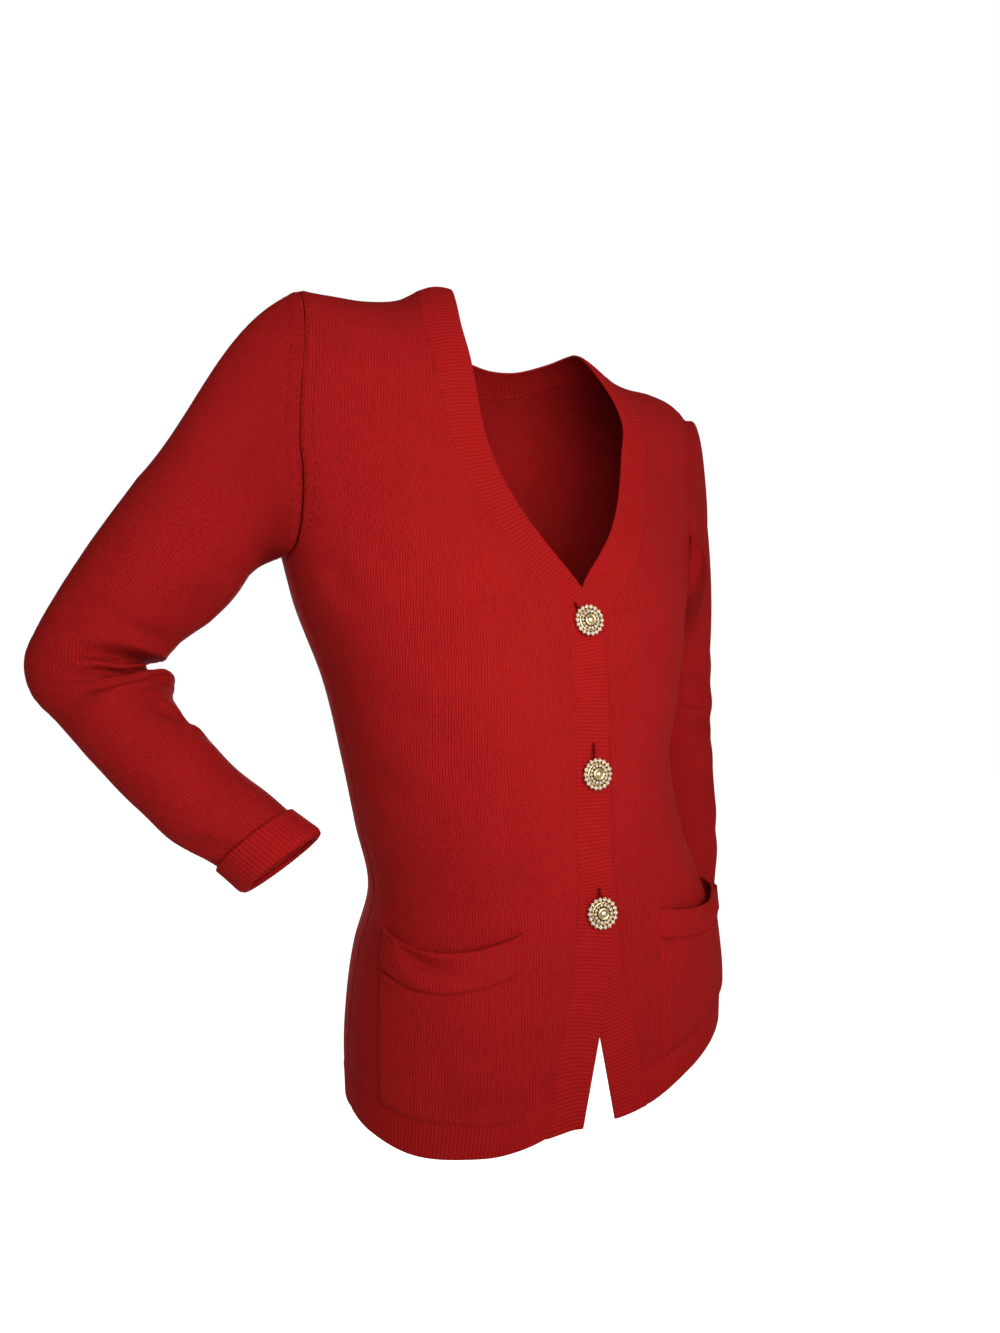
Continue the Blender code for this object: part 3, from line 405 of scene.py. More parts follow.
def angle_at(x, run):
    """Angle of a place this far across the form."""
    half = BODY(over_shoulder(run)[0])[0]
    lean = np.arccos(np.minimum(np.abs(x) / half, 1.0) ** (SQUARENESS / 2))
    return np.where(x > 0, lean, math.pi - lean)


def front_lift(side, angle, run):
    """Rise of the right front over the left one, near the centre and below the V."""
    height, _ = over_shoulder(run)
    across = np.abs(BODY(height)[0] * np.cos(angle))
    near = 1 - ease((across - 0.020) / 0.070)
    below = ease((-0.180 - height) / 0.050)
    return -SIDES[side] * BAND_LIFT * near * below


def walk(x, run, direction, length, steps=6):
    """Moves over the form from (x, run) in a direction, and gives the new (x, run)."""
    small = 0.0005
    for _ in range(steps):
        here = form_point(angle_at(x, run), run)
        by_x = (form_point(angle_at(x + small, run), run) - here) / small
        by_run = (form_point(angle_at(x, run + small), run + small) - here) / small
        level = unit(np.cross(by_x, by_run))
        flat = unit(direction - level * dot(level, direction)) * length / steps
        xx, rr, xr = dot(by_x, by_x), dot(by_run, by_run), dot(by_x, by_run)
        fx, fr = dot(by_x, flat), dot(by_run, flat)
        square = xx * rr - xr**2
        x = x + ((rr * fx - xr * fr) / square)[..., 0]
        run = run + ((xx * fr - xr * fx) / square)[..., 0]
    return x, run


def make_round_table():
    """Way round the form from its centre line, for a table of runs and angles."""
    runs = np.linspace(-0.70, 0.70, 281)
    angles = np.linspace(-0.01, math.pi + 0.01, 161)
    ways = lengths_along(form_point(angles[None, :], runs[:, None]), axis=1)
    return runs, angles, ways - ways[:, 80:81]


ROUND_RUNS, ROUND_ANGLES, ROUND_WAYS = make_round_table()


def knit_chart(angle, run):
    """Place in the knitting: way round from the centre line, and way down, in metres."""
    i = (run - ROUND_RUNS[0]) / (ROUND_RUNS[1] - ROUND_RUNS[0])
    j = (angle - ROUND_ANGLES[0]) / (ROUND_ANGLES[1] - ROUND_ANGLES[0])
    i0 = np.clip(i.astype(int), 0, len(ROUND_RUNS) - 2)
    j0 = np.clip(j.astype(int), 0, len(ROUND_ANGLES) - 2)
    i, j = i - i0, j - j0
    table = ROUND_WAYS
    way = ((1 - i) * ((1 - j) * table[i0, j0] + j * table[i0, j0 + 1])
           + i * ((1 - j) * table[i0 + 1, j0] + j * table[i0 + 1, j0 + 1]))
    return np.stack([way, run], axis=-1)


# ---------------------------------------------------------------- seam lines
def through(places, keys, corners=()):
    """A smooth line through places at whole keys, with a corner at each key named."""
    places = np.array(places, float)
    line = np.empty((len(keys), places.shape[1]))
    ends = [0, *corners, len(places) - 1]
    for first, last in zip(ends, ends[1:]):
        curve = Curve([(key, *places[key]) for key in range(first, last + 1)])
        chosen = (keys >= first) & (keys <= last)
        line[chosen] = curve(keys[chosen]).T
    return line


def edge_station_places(side):
    """Places (x, run) of the band's free edge, from the hem to the centre back."""
    levels = (HEM_HEIGHT, HEM_HEIGHT + HEM_BAND) + PANEL_LEVELS + (ARMPIT_HEIGHT,)
    runs = [run_at(level, 1) for level in levels] + list(FRONT_NECK_RUNS)
    sign = SIDES[side]
    out, middle = EDGE(np.array(runs))
    places = list(zip(sign * out + middle, runs))
    for turn in BACK_NECK_TURNS[1:]:
        around = math.radians(turn)
        places.append((places[len(runs) - 1][0] * math.cos(around),
                       -BACK_NECK_RUN * math.sin(around)))
    return places


def sewn_station_places(side):
    """Places (x, run) of the band's sewn edge at the stations of its free edge."""
    stations = edge_station_places(side)
    keys = np.arange(EDGE_STATIONS + 1.0)
    x, run = through(stations, keys).T
    around = []
    for step in (-0.04, 0.04):
        near = through(stations, np.clip(keys + step, 0, EDGE_STATIONS)).T
        around.append(form_point(angle_at(*near), near[1]))
    normal = form_normal(angle_at(x, run), run)
    away = np.cross(normal, around[1] - around[0]) * -SIDES[side]
    away[-1] = (0.0, 0.4, -1.0)
    sewn_x, sewn_run = walk(x, run, away, BAND_WIDTH - SEAM_LAP)
    square = ease(np.abs(run) / BACK_NECK_RUN) * (1 - HEM_SLANT * ease((run - 0.60) / 0.06))
    sewn_run = run + (sewn_run - run) * square
    sewn_x[-1] = 0.0
    return np.stack([sewn_x, sewn_run], -1)


def band_line(side, keys, distance):
    """The free edge at these stations, moved over the form away from the opening."""
    keys = np.asarray(keys, float)
    free = through(edge_station_places(side), keys)
    sewn = through(SEWN_STATIONS[side], keys)
    share = np.broadcast_to(distance, keys.shape)[:, None] / (BAND_WIDTH - SEAM_LAP)
    return (free + (sewn - free) * share).T


SEWN_STATIONS = {side: sewn_station_places(side) for side in SIDES}


def armhole_line(side, face, keys):
    """Places (angle, run) of the armhole from under the arm to the shoulder point."""
    turn_run = run_at(ARMHOLE_TURN_HEIGHT, face)
    under = run_at(ARMPIT_HEIGHT, face)
    side_angle = SIDE_ANGLES[side]
    turn_angle = angle_at(armhole_x(side, turn_run), np.array(turn_run))
    around = math.pi / 2 * np.arange(ARMHOLE_UNDER_STEPS + 1) / ARMHOLE_UNDER_STEPS
    places = list(zip(side_angle + (turn_angle - side_angle) * np.sin(around),
                      under + (turn_run - under) * (1 - np.cos(around))))
    for run in FRONT_ARM_RUNS if face > 0 else BACK_ARM_RUNS:
        angle = angle_at(armhole_x(side, run), np.array(float(face * run)))
        places.append((float(angle), face * run))
    return through(places, keys)


def armhole_x(side, run):
    """Place across the upper part of the form where the armhole lies."""
    above, below = ARMHOLE_OUT[side]
    return SIDES[side] * (above + (below - above) * ease(abs(run) / ARMHOLE_REACH))


# ---------------------------------------------------------------- grids of cloth
EDGE_STEPS = (0.0, 0.0007, 0.0018, 0.0036)    # close rows beside every seam and edge
EDGE_DIP = 0.0004             # the cloth turns down by this at its edges and armholes
LINKED_DIP = 0.00025          # and by this where ribbed and plain knit are linked
EDGE_DIP_REACH = 0.0024
FOLD_SIDES = (0.35, 2.1)      # share and place of the counter wave beside a fold
FOLD_REACH = 3.6              # half widths from its line at which a fold ends
JOIN_DISTANCE = 0.00001       # points of a joined mesh nearer than this are one
BODY_AXIS = [(0.0, 0.0, z) for z in (-0.60, -0.45, -0.30, -0.15)]


def even_ways(total, count):
    """Places along lengths: close together at both ends, even between them."""
    total = np.asarray(total, float)[..., None]
    steps = np.array(EDGE_STEPS)
    inner = np.linspace(0, 1, count - 2 * len(steps) + 2)[1:-1]
    middle = steps[-1] + (total - 2 * steps[-1]) * inner
    start = np.broadcast_to(steps, total.shape[:-1] + steps.shape)
    return np.concatenate([start, middle, total - start[..., ::-1]], axis=-1)


def spread_rows(outer, inner, count, plain=False):
    """Grid of places whose rows lead from outer to inner places, and the ways along."""
    t = np.linspace(0, 1, 81)
    change = inner - outer
    points = form_point(outer[:, :1] + change[:, :1] * t, outer[:, 1:] + change[:, 1:] * t)
    lengths = lengths_along(points, axis=1)
    total = lengths[:, -1]
    ways = (total[:, None] * np.linspace(0, 1, count)) if plain else even_ways(total, count)
    share = np.stack([np.interp(way, length, t) for way, length in zip(ways, lengths)])
    return outer[:, :1] + change[:, :1] * share, outer[:, 1:] + change[:, 1:] * share, ways


def row_keys(line, last, count, plain=False):
    """Stations up to the last that lie evenly along line(keys), and the ways along it."""
    keys = np.linspace(0, last, 900)
    lengths = lengths_along(line(keys))
    ways = lengths[-1] * np.linspace(0, 1, count) if plain else even_ways(lengths[-1], count)
    return np.interp(ways, lengths, keys), ways


def edge_dip(distance, depth=EDGE_DIP):
    """Fall of the cloth this far from an edge."""
    return -depth * (1 - ease(distance / EDGE_DIP_REACH))


def fold_rise(places, rows):
    """Rise of the cloth at flat places from the soft folds that cross it."""
    rise = np.zeros(places.shape[:-1])
    t = np.linspace(0, 1, 33)[:, None]
    beside, apart = FOLD_SIDES
    for start, middle, end, height, width, peak in rows:
        start, middle, end = (np.array(place) for place in (start, middle, end))
        turn = 2 * middle - (start + end) / 2
        line = (1 - t) ** 2 * start + 2 * t * (1 - t) * turn + t * t * end
        reach = FOLD_REACH * width
        near = ((places > line.min(0) - reach) & (places < line.max(0) + reach)).all(-1)
        far = np.linalg.norm(places[near][:, None, :] - line, axis=-1)
        at = t[far.argmin(-1), 0]
        far = far.min(-1) / width
        strength = ease(at / peak) * ease((1 - at) / (1 - peak))
        rise[near] += height * strength * (hump(far, 0, 1) - beside * hump(far, apart, 1))
    return rise * cloth().fold_strength


def body_surface(piece, side, face, angle, run, rise):
    """Outer face of a body piece, with the cloth's lap, folds and a further rise."""
    lift = rise
    if face > 0:
        lift = lift + front_lift(side, angle, run)
    crossed = {piece, piece.replace("pocket", "front")}
    rows = [row[1:] for row in BODY_FOLDS if crossed & set(row[0])]
    lift = lift + fold_rise(knit_chart(angle, run), rows)
    return form_point(angle, run) + form_normal(angle, run) * lift[..., None]


def cells(grid):
    """The four corners of each cell of a grid."""
    return np.stack([grid[:-1, :-1], grid[:-1, 1:], grid[1:, 1:], grid[1:, :-1]], axis=2)


def grid_mesh(name, grids, closed=False, merge=False):
    """A mesh from grids: each is points, knit places and named values per point."""
    points, faces, places, extras, base = [], [], [], {}, 0
    for grid, chart, values in grids:
        shape = grid.shape[:2]
        index = np.arange(shape[0] * shape[1]).reshape(shape) + base
        base += index.size
        if closed:
            index[:, -1] = index[:, 0]
        kept = ~values.get("hole", np.zeros(shape, bool))[:-1, :-1]
        points.append(grid.reshape(-1, 3))
        faces.append(cells(index)[kept])
        places.append(cells(chart)[kept])
        for key, value in values.items():
            if key != "hole":
                extras.setdefault(key, []).append(value.ravel())
    mesh = bpy.data.meshes.new(name)
    mesh.from_pydata(np.concatenate(points).tolist(), [], np.concatenate(faces).tolist())
    layer = mesh.uv_layers.new(name="knit")
    layer.data.foreach_set("uv", np.concatenate(places).astype(np.float32).ravel())
    for key, value in extras.items():
        layer = mesh.attributes.new(key, "FLOAT", "POINT")
        layer.data.foreach_set("value", np.concatenate(value).astype(np.float32))
    form = bmesh.new()
    form.from_mesh(mesh)
    loose = [vert for vert in form.verts if not vert.link_faces]
    bmesh.ops.delete(form, geom=loose, context="VERTS")
    if merge:
        bmesh.ops.remove_doubles(form, verts=form.verts, dist=JOIN_DISTANCE)
        form.normal_update()
        bmesh.ops.recalc_face_normals(form, faces=form.faces)
    form.to_mesh(mesh)
    form.free()
    mesh.shade_smooth()
    return mesh


def face_away(mesh, inside):
    """Turns an open surface so that it faces away from the nearest inner point."""
    inside = np.atleast_2d(inside)
    centres = np.empty(len(mesh.polygons) * 3)
    normals = np.empty_like(centres)
    mesh.polygons.foreach_get("center", centres)
    mesh.polygons.foreach_get("normal", normals)
    centres, normals = centres.reshape(-1, 3)[::7], normals.reshape(-1, 3)[::7]
    nearest = inside[((centres[:, None] - inside) ** 2).sum(-1).argmin(1)]
    if ((centres - nearest) * normals).sum() < 0:
        mesh.flip_normals()


# ---------------------------------------------------------------- settings
class ClothSettings(bpy.types.PropertyGroup):
    """Sizes of the knitted cloth."""

    wall: FloatProperty(name="Thickness", description="Thickness of the knitted cloth",
                        default=0.0018, min=0.0008, max=0.004, unit="LENGTH")
    grain: FloatProperty(name="Mesh size", description="Size of the cloth's facets",
                         default=0.0034, min=0.002, max=0.010, unit="LENGTH")
    fold_strength: FloatProperty(name="Folds", description="Strength of the soft folds",
                                 default=1.0, min=0.0, max=1.5, subtype="FACTOR")
    # Real columns are about 1.6 mm wide; these are coarser, so that they show.
    wale: FloatProperty(name="Wale", description="Width of one column of stitches",
                        default=0.0023, min=0.001, max=0.006, unit="LENGTH")
    colour: StringProperty(name="Yarn", description="Colour of the yarn, as sRGB hex",
                           default="851212")


class RibSettings(bpy.types.PropertyGroup):
    """Sizes of the ribbed bands, hem and cuffs."""

    pitch: FloatProperty(name="Rib spacing", description="From one rib to the next",
                         default=0.0028, min=0.0015, max=0.006, unit="LENGTH")
    height: FloatProperty(name="Rib height", description="Height of a rib",
                          default=0.00015, min=0.0, max=0.002, unit="LENGTH")


class StitchSettings(bpy.types.PropertyGroup):
    """Sizes of the marks and stitches beside the seams."""

    mark_spacing: FloatProperty(name="Mark spacing", description="Between fashioning marks",
                                default=0.0056, min=0.003, max=0.02, unit="LENGTH")
    mark_inset: FloatProperty(name="Mark inset", description="From the armhole seam",
                              default=0.0105, min=0.004, max=0.03, unit="LENGTH")
    spacing: FloatProperty(name="Stitch spacing", description="Between seam stitches",
                           default=0.0030, min=0.001, max=0.01, unit="LENGTH")


class ButtonSettings(bpy.types.PropertyGroup):
    """Sizes of the jewelled buttons."""

    outer_count: IntProperty(name="Outer stones", description="Stones round the rim",
                             default=18, min=8, max=30)
    inner_count: IntProperty(name="Inner stones", description="Stones in the inner ring",
                             default=14, min=6, max=24)
    outer_size: FloatProperty(name="Outer stone", description="Width of a rim stone",
                              default=0.0033, min=0.001, max=0.006, unit="LENGTH")
    inner_size: FloatProperty(name="Inner stone", description="Width of an inner stone",
                              default=0.0024, min=0.001, max=0.006, unit="LENGTH")


class StageSettings(bpy.types.PropertyGroup):
    """The pale floor and the light."""

    floor: FloatProperty(name="Floor", description="Height of the floor",
                         default=-1.25, unit="LENGTH")
    key: FloatProperty(name="Near lights", description="Power of the stronger near softbox",
                       default=2.75, min=0.0, unit="POWER")
    sky: FloatProperty(name="Surround", description="Brightness of the room around",
                       default=0.33, min=0.0)
    backdrop: FloatProperty(name="Backdrop", description="Brightness of the white backdrop",
                            default=1.0, min=0.0)


def settings(name):
    """The values of one group of settings."""
    return getattr(bpy.context.scene, "cardigan_" + name)


def cloth():
    return settings("cloth")


# ---------------------------------------------------------------- node trees
STITCH_VARIES = {"Min": 0.82, "Max": 1.15}     # sizes of stitches, as shares of the stated one
STONE_SIDES = 8
STONE_RADIUS = 0.46           # where the crown meets the girdle
CLAWS = 4
CLAW_RADIUS = 0.115


class Nodes:
    """Adds nodes to a tree; each method gives one of the last new node's outputs."""

    def __init__(self, tree):
        self.tree = tree

    def __call__(self, kind, values=None, output=0, **options):
        """Each value is set on an input, or linked to it where it is a socket."""
        made = self.tree.nodes.new(kind)
        for name, value in options.items():
            setattr(made, name, value)
        for name, value in (values or {}).items():
            if isinstance(value, bpy.types.NodeSocket):
                self.tree.links.new(value, made.inputs[name])
            else:
                made.inputs[name].default_value = value
        return made.outputs[output] if made.outputs else None

    def maths(self, operation, *values):
        return self("ShaderNodeMath", dict(enumerate(values)), operation=operation)

    def vector(self, operation, *values, output=0, **named):
        return self("ShaderNodeVectorMath", {**dict(enumerate(values)), **named}, output,
                    operation=operation)

    def stored(self, name, kind="FLOAT"):
        """A value that is stored on the points."""
        return self("GeometryNodeInputNamedAttribute", {"Name": name}, data_type=kind)

    def place(self, output="Object"):
        return self("ShaderNodeTexCoord", output=output)

    def noise(self, place, scale, detail, roughness=0.5, output="Fac"):
        return self("ShaderNodeTexNoise", {"Vector": place, "Scale": scale, "Detail": detail,
                                           "Roughness": roughness}, output)

    def mix(self, share, low, high):
        """From one colour to the other."""
        return self("ShaderNodeMix", {"Factor": share, 6: low, 7: high}, 2, data_type="RGBA")

    def ranged(self, value, low, high, start=0.0, end=1.0, kind="LINEAR"):
        return self("ShaderNodeMapRange",
                    {"Value": value, "From Min": start, "From Max": end, "To Min": low,
                     "To Max": high}, interpolation_type=kind)

    def bump(self, height, strength, distance):
        return self("ShaderNodeBump",
                    {"Strength": strength, "Distance": distance, "Height": height})

    def joined(self, first, second):
        """The two geometries as one."""
        whole = self("GeometryNodeJoinGeometry", {0: first})
        self.tree.links.new(second, whole.node.inputs[0])
        return whole

    def cone(self, sides, top, bottom, depth, height=0.0, **options):
        made = self("GeometryNodeMeshCone", {"Vertices": sides, "Radius Top": top,
                                             "Radius Bottom": bottom, "Depth": depth}, **options)
        return self("GeometryNodeTransform",
                    {"Geometry": made, "Translation": (0.0, 0.0, height)})

    def ball(self, segments, rings, radius):
        made = self("GeometryNodeMeshUVSphere",
                    {"Segments": segments, "Rings": rings, "Radius": radius})
        return self("GeometryNodeSetShadeSmooth", {0: made})

    def circle(self, count, radius):
        return self("GeometryNodeMeshCircle", {"Vertices": count, "Radius": radius},
                    fill_type="NONE")

    def dressed(self, geometry, finish):
        return self("GeometryNodeSetMaterial", {"Geometry": geometry, "Material": finish})


def geometry_tree(name, inputs):
    """The nodes of a new tree, and its inputs: a mesh and these named ones."""
    tree = bpy.data.node_groups.new(name, "GeometryNodeTree")
    tree.interface.new_socket("Geometry", in_out="OUTPUT", socket_type="NodeSocketGeometry")
    for label, kind in {"Geometry": "Geometry", **inputs}.items():
        tree.interface.new_socket(label, in_out="INPUT", socket_type="NodeSocket" + kind)
    return Nodes(tree), tree.nodes.new("NodeGroupInput").outputs


def end_tree(add, geometry, finish=None):
    """Ends a tree in real geometry, with its material where one is given."""
    real = add("GeometryNodeRealizeInstances", {0: geometry})
    add("NodeGroupOutput", {0: add.dressed(real, finish) if finish else real})
    return add.tree


def rib_relief():
    """Raises ribs along the normal, from each point's place across the ribs."""
    add, given = geometry_tree("rib_relief", {"Spacing": "Float", "Height": "Float",
                                              "Finish": "Material"})
    turns = add.maths("DIVIDE", add.stored("along"), given["Spacing"])
    wave = add.maths("COSINE", add.maths("MULTIPLY", turns, 2 * math.pi))
    rise = add.maths("MULTIPLY", wave, add.maths("MULTIPLY", given["Height"], 0.5))
    held = add.maths("MULTIPLY", rise, add.stored("fade"))
    offset = add.vector("SCALE", add("GeometryNodeInputNormal"), Scale=held)
    moved = add("GeometryNodeSetPosition", {"Geometry": given["Geometry"], "Offset": offset})
    return end_tree(add, moved, given["Finish"])


def stitches_on_a_line():
    """Lays small rounded stitches along a line; `out` and `lay` turn each of them."""
    add, given = geometry_tree("stitches_on_a_line", {
        "Spacing": "Float", "Length": "Float", "Width": "Float", "Height": "Float",
        "Finish": "Material", "Seed": "Int"})
    line = add("GeometryNodeMeshToCurve", {0: given["Geometry"]})
    even = add("GeometryNodeResampleCurve", {"Curve": line, "Length": given["Spacing"]},
               mode="LENGTH")
    turn = add("FunctionNodeAxesToRotation",
               {"Primary Axis": add.stored("out", "FLOAT_VECTOR"),
                "Secondary Axis": add.stored("lay", "FLOAT_VECTOR")},
               primary_axis="Z", secondary_axis="X")
    size = add("ShaderNodeCombineXYZ",
               {0: given["Length"], 1: given["Width"], 2: given["Height"]})
    vary = add("FunctionNodeRandomValue", {**STITCH_VARIES, "Seed": given["Seed"]}, "Value",
               data_type="FLOAT")
    laid = add("GeometryNodeInstanceOnPoints",
               {"Points": even, "Instance": add.ball(8, 5, 0.5), "Rotation": turn,
                "Scale": add.vector("SCALE", size, Scale=vary)})
    return end_tree(add, laid, given["Finish"])


def ring_of_stones():
    """A ring of cut stones, each in a round setting with claws, about the origin.

    The sizes of a stone and of its setting are shares of the stone's width.
    """
    add, given = geometry_tree("ring_of_stones", {
        "Count": "Int", "Ring Radius": "Float", "Stone Width": "Float", "Seat": "Float",
        "Finish": "Material", "Setting": "Material"})
    seated = add("GeometryNodeSetPosition",
                 {"Geometry": add.circle(given["Count"], given["Ring Radius"]),
                  "Offset": add("ShaderNodeCombineXYZ", {2: given["Seat"]})})
    share = add.maths("DIVIDE", add("GeometryNodeInputIndex"), given["Count"])
    turned = add("ShaderNodeCombineXYZ", {2: add.maths("MULTIPLY", share, 2 * math.pi)})
    crown = add.cone(STONE_SIDES, 0.28, STONE_RADIUS, 0.30)
    girdle = add.cone(STONE_SIDES, STONE_RADIUS, 0.44, 0.12, -0.11)
    claws = add("GeometryNodeInstanceOnPoints", {
        "Points": add.circle(CLAWS, STONE_RADIUS), "Instance": add.ball(6, 4, CLAW_RADIUS)})
    metal = add.joined(claws, add.cone(10, 0.50, 0.42, 0.34, -0.30, fill_type="NONE"))
    whole = add.joined(add.dressed(add.joined(crown, girdle), given["Finish"]),
                       add.dressed(metal, given["Setting"]))
    placed = add("GeometryNodeInstanceOnPoints",
                 {"Points": seated, "Instance": whole, "Scale": given["Stone Width"],
                  "Rotation": add("FunctionNodeEulerToRotation", {0: turned})})
    return end_tree(add, placed)


def add_nodes(obj, make_tree, values):
    """Adds a geometry tree to an object and sets its inputs by their identifiers."""
    tree = bpy.data.node_groups.get(make_tree.__name__) or make_tree()
    made = obj.modifiers.new(tree.name, "NODES")
    made.node_group = tree
    for item in tree.interface.items_tree:
        if item.item_type == "SOCKET" and item.in_out == "INPUT" and item.name in values:
            made[item.identifier] = values[item.name]


def baked(obj):
    """Turns the evaluated object into a plain mesh with no modifiers."""
    depsgraph = bpy.context.evaluated_depsgraph_get()
    mesh = bpy.data.meshes.new_from_object(
        obj.evaluated_get(depsgraph), preserve_all_data_layers=True, depsgraph=depsgraph)
    mesh.name = obj.name
    obj.modifiers.clear()
    obj.data = mesh
    return obj


# ---------------------------------------------------------------- materials
COURSE = 0.80                 # height of a stitch, as a share of the wale
STITCH_LEAN = 0.55            # how far a leg rises from its furrow to its crest, in courses
ROW_DEPTH = 0.07              # of the furrows between rows, against those between columns
FIBRE_DEPTH = 0.70            # of the brushed fibres' relief
LEG_TONES = 0.22              # how much the legs of the stitches differ from each other
DYE_TONES = 0.34              # how much the dye changes from place to place
BASE_TONE = -0.11
RELIEF_PAINTED_SHADE = 0.62           # painted shade and light: how much lighter crests are painted than furrows
# Scale, detail and roughness of each noise: the columns' drift, the fibres, the dye.
DRIFT = (38.0, 2.0, 0.5)
FIBRES = (1900.0, 3.0, 0.7)
DYE = (16.0, 4.0, 0.6)
# For each knit: how far its columns wander, the share of a half wave that its stitches
# show, the relief's height, and the tones of the yarn from the furrows to the crests,
# which paint shade into the furrows and light onto the crests.
KNITS = {
    "plain": (0.0010, 0.9, 0.00060, ((0.34, 0.60), (0.62, 0.97), (0.92, 1.30))),
    "rib": (0.0, 0.5, 0.00030, ((0.34, 0.80), (0.62, 0.97), (0.92, 1.10))),
}
YARN_SURFACE = {"Roughness": 0.92, "Specular IOR Level": 0.02}
MATERIALS = {}


def linear(code):
    """Linear colour of an sRGB hex value."""
    parts = [int(code[k:k + 2], 16) / 255 for k in (0, 2, 4)]
    return (*(c / 12.92 if c <= 0.04045 else ((c + 0.055) / 1.055) ** 2.4 for c in parts), 1.0)


def yarn_tone(red, rest):
    """The yarn's colour with its red, and its green and blue, stronger or weaker."""
    yarn = linear(cloth().colour)
    return yarn[0] * red, yarn[1] * rest, yarn[2] * rest, 1.0


def material(surface):
    """Keeps a function that gives a shader's values, as the material of its name."""
    MATERIALS[surface.__name__] = surface
    return surface


def finish(name):
    """The material of this name, made when it is first asked for."""
    made = bpy.data.materials.get(name)
    if made is None:
        made = bpy.data.materials.new(name)
        made.use_nodes = True
        made.node_tree.nodes.clear()
        add = Nodes(made.node_tree)
        shader = add("ShaderNodeBsdfPrincipled", MATERIALS[name](add))
        add("ShaderNodeOutputMaterial", {"Surface": shader})
    return made


def knit(add, kind, wale):
    """Columns of small V-shaped stitches; the brushed yarn's dye varies a little.

    The furrows are painted darker and the crests lighter: painted shade and light.
    """
    wander, wave, relief, tones = KNITS[kind]
    place = add("ShaderNodeUVMap", uv_map="knit")
    drift = add.noise(place, *DRIFT, output="Color")
    shift = add.vector("SCALE", add.vector("SUBTRACT", drift, (0.5, 0.5, 0.5)), Scale=wander)
    moved = add("ShaderNodeSeparateXYZ", {0: add.vector("ADD", place, shift)}).node.outputs
    column = add.maths("DIVIDE", moved[0], wale)
    across = add.maths("MULTIPLY", add.maths("PINGPONG", column, 0.5), 2.0)
    if kind == "rib":
        across = add.maths("SUBTRACT", 1.0, across)
    down = add.maths("DIVIDE", moved[1], COURSE * cloth().wale)
    turns = add.maths("MULTIPLY_ADD", across, STITCH_LEAN, down)
    row = add.maths("SINE", add.maths("MULTIPLY", turns, 2 * math.pi))
    leg = add.maths("SINE", add.maths("MULTIPLY", across, math.pi * wave))
    level = add.maths("MULTIPLY_ADD", row, ROW_DEPTH, 1 - ROW_DEPTH)
    height = add.maths("MULTIPLY_ADD", add.noise(place, *FIBRES), FIBRE_DEPTH,
                       add.maths("MULTIPLY", leg, level))
    # Each leg of a stitch has its own tone, over the dye's slow change.
    leg_cell = add("ShaderNodeCombineXYZ",
                   {0: add.maths("FLOOR", add.maths("MULTIPLY", column, 2.0)),
                    1: add.maths("FLOOR", turns)})
    grain = add("ShaderNodeTexWhiteNoise", {"Vector": leg_cell}, "Value")
    dye = add.maths("MULTIPLY_ADD", add.noise(place, *DYE), DYE_TONES, BASE_TONE)
    tone = add.maths("MULTIPLY_ADD", grain, LEG_TONES, dye)
    # Painted shade and light: the higher the relief, the lighter the colour, so furrows look
    # shaded.
    tone = add.maths("MULTIPLY_ADD", height, RELIEF_PAINTED_SHADE, tone)
    ramp = add("ShaderNodeValToRGB", {0: tone})
    stops = ramp.node.color_ramp.elements
    stops.new(0.5)
    for stop, (at, gain) in zip(stops, tones):
        stop.position = at
        stop.color = yarn_tone(gain, gain**1.5)
    return {"Base Color": ramp, "Normal": add.bump(height, 0.9, relief), **YARN_SURFACE,
            "Sheen Weight": 0.01, "Sheen Roughness": 0.55, "Sheen Tint": linear("FF6A5C")}


@material
def cashmere_stocking_stitch(add):
    """Cashmere yarn, machine knitted in stocking stitch, brushed a little."""
    return knit(add, "plain", cloth().wale)


@material
def cashmere_rib_knit(add):
    """The same yarn in rib: deep furrows between raised columns."""
    return knit(add, "rib", settings("rib").pitch)


@material
def cashmere_sewing_yarn(add):
    """Twisted cashmere sewing yarn: its slanting ply shows as fine stripes.

    The grooves between the plies are painted darker, as painted shade.
    """
    ply = add("ShaderNodeTexWave", {"Vector": add.place(), "Scale": 420.0, "Distortion": 1.5},
              "Fac", bands_direction="DIAGONAL")
    # Painted shade: the ply's grooves are coloured darker and its crests lighter.
    return {"Base Color": add.mix(ply, yarn_tone(0.55, 0.5), yarn_tone(1.05, 1.1)),
            "Normal": add.bump(ply, 0.6, 0.0002), **YARN_SURFACE}


@material
def gilt_cast_brass(add):
    """Cast brass, gilt and polished: warm, bright, with a casting's softly uneven skin."""
    skin = add.noise(add.place(), 900.0, 4.0)
    tone = add.noise(add.place(), 260.0, 2.0)
    return {"Base Color": add.mix(tone, linear("9C7A42"), linear("EFE0B4")), "Metallic": 1.0,
            "Roughness": add.ranged(skin, 0.16, 0.36), "Normal": add.bump(skin, 0.25, 0.00012)}


@material
def brass_painted_shade(add):
    """Brass painted near black between the stones: painted shade for the gaps between them."""
    tone = add.noise(add.place(), 600.0, 3.0)
    return {"Base Color": add.mix(tone, linear("241509"), linear("6A4C25")),
            "Roughness": 0.55, "Metallic": 1.0}


@material
def foil_backed_crystal(add):
    """Cut crystal backed with silver foil: white, mirror-bright facets that flash."""
    foil = add("ShaderNodeTexVoronoi", {"Vector": add.place(), "Scale": 700.0}, "Distance")
    return {"Base Color": add.mix(foil, linear("FFF8EE"), linear("DCC4AA")),
            "Roughness": add.ranged(foil, 0.05, 0.16), "Metallic": 0.55,
            "Coat Weight": 1.0, "Coat Roughness": 0.03}


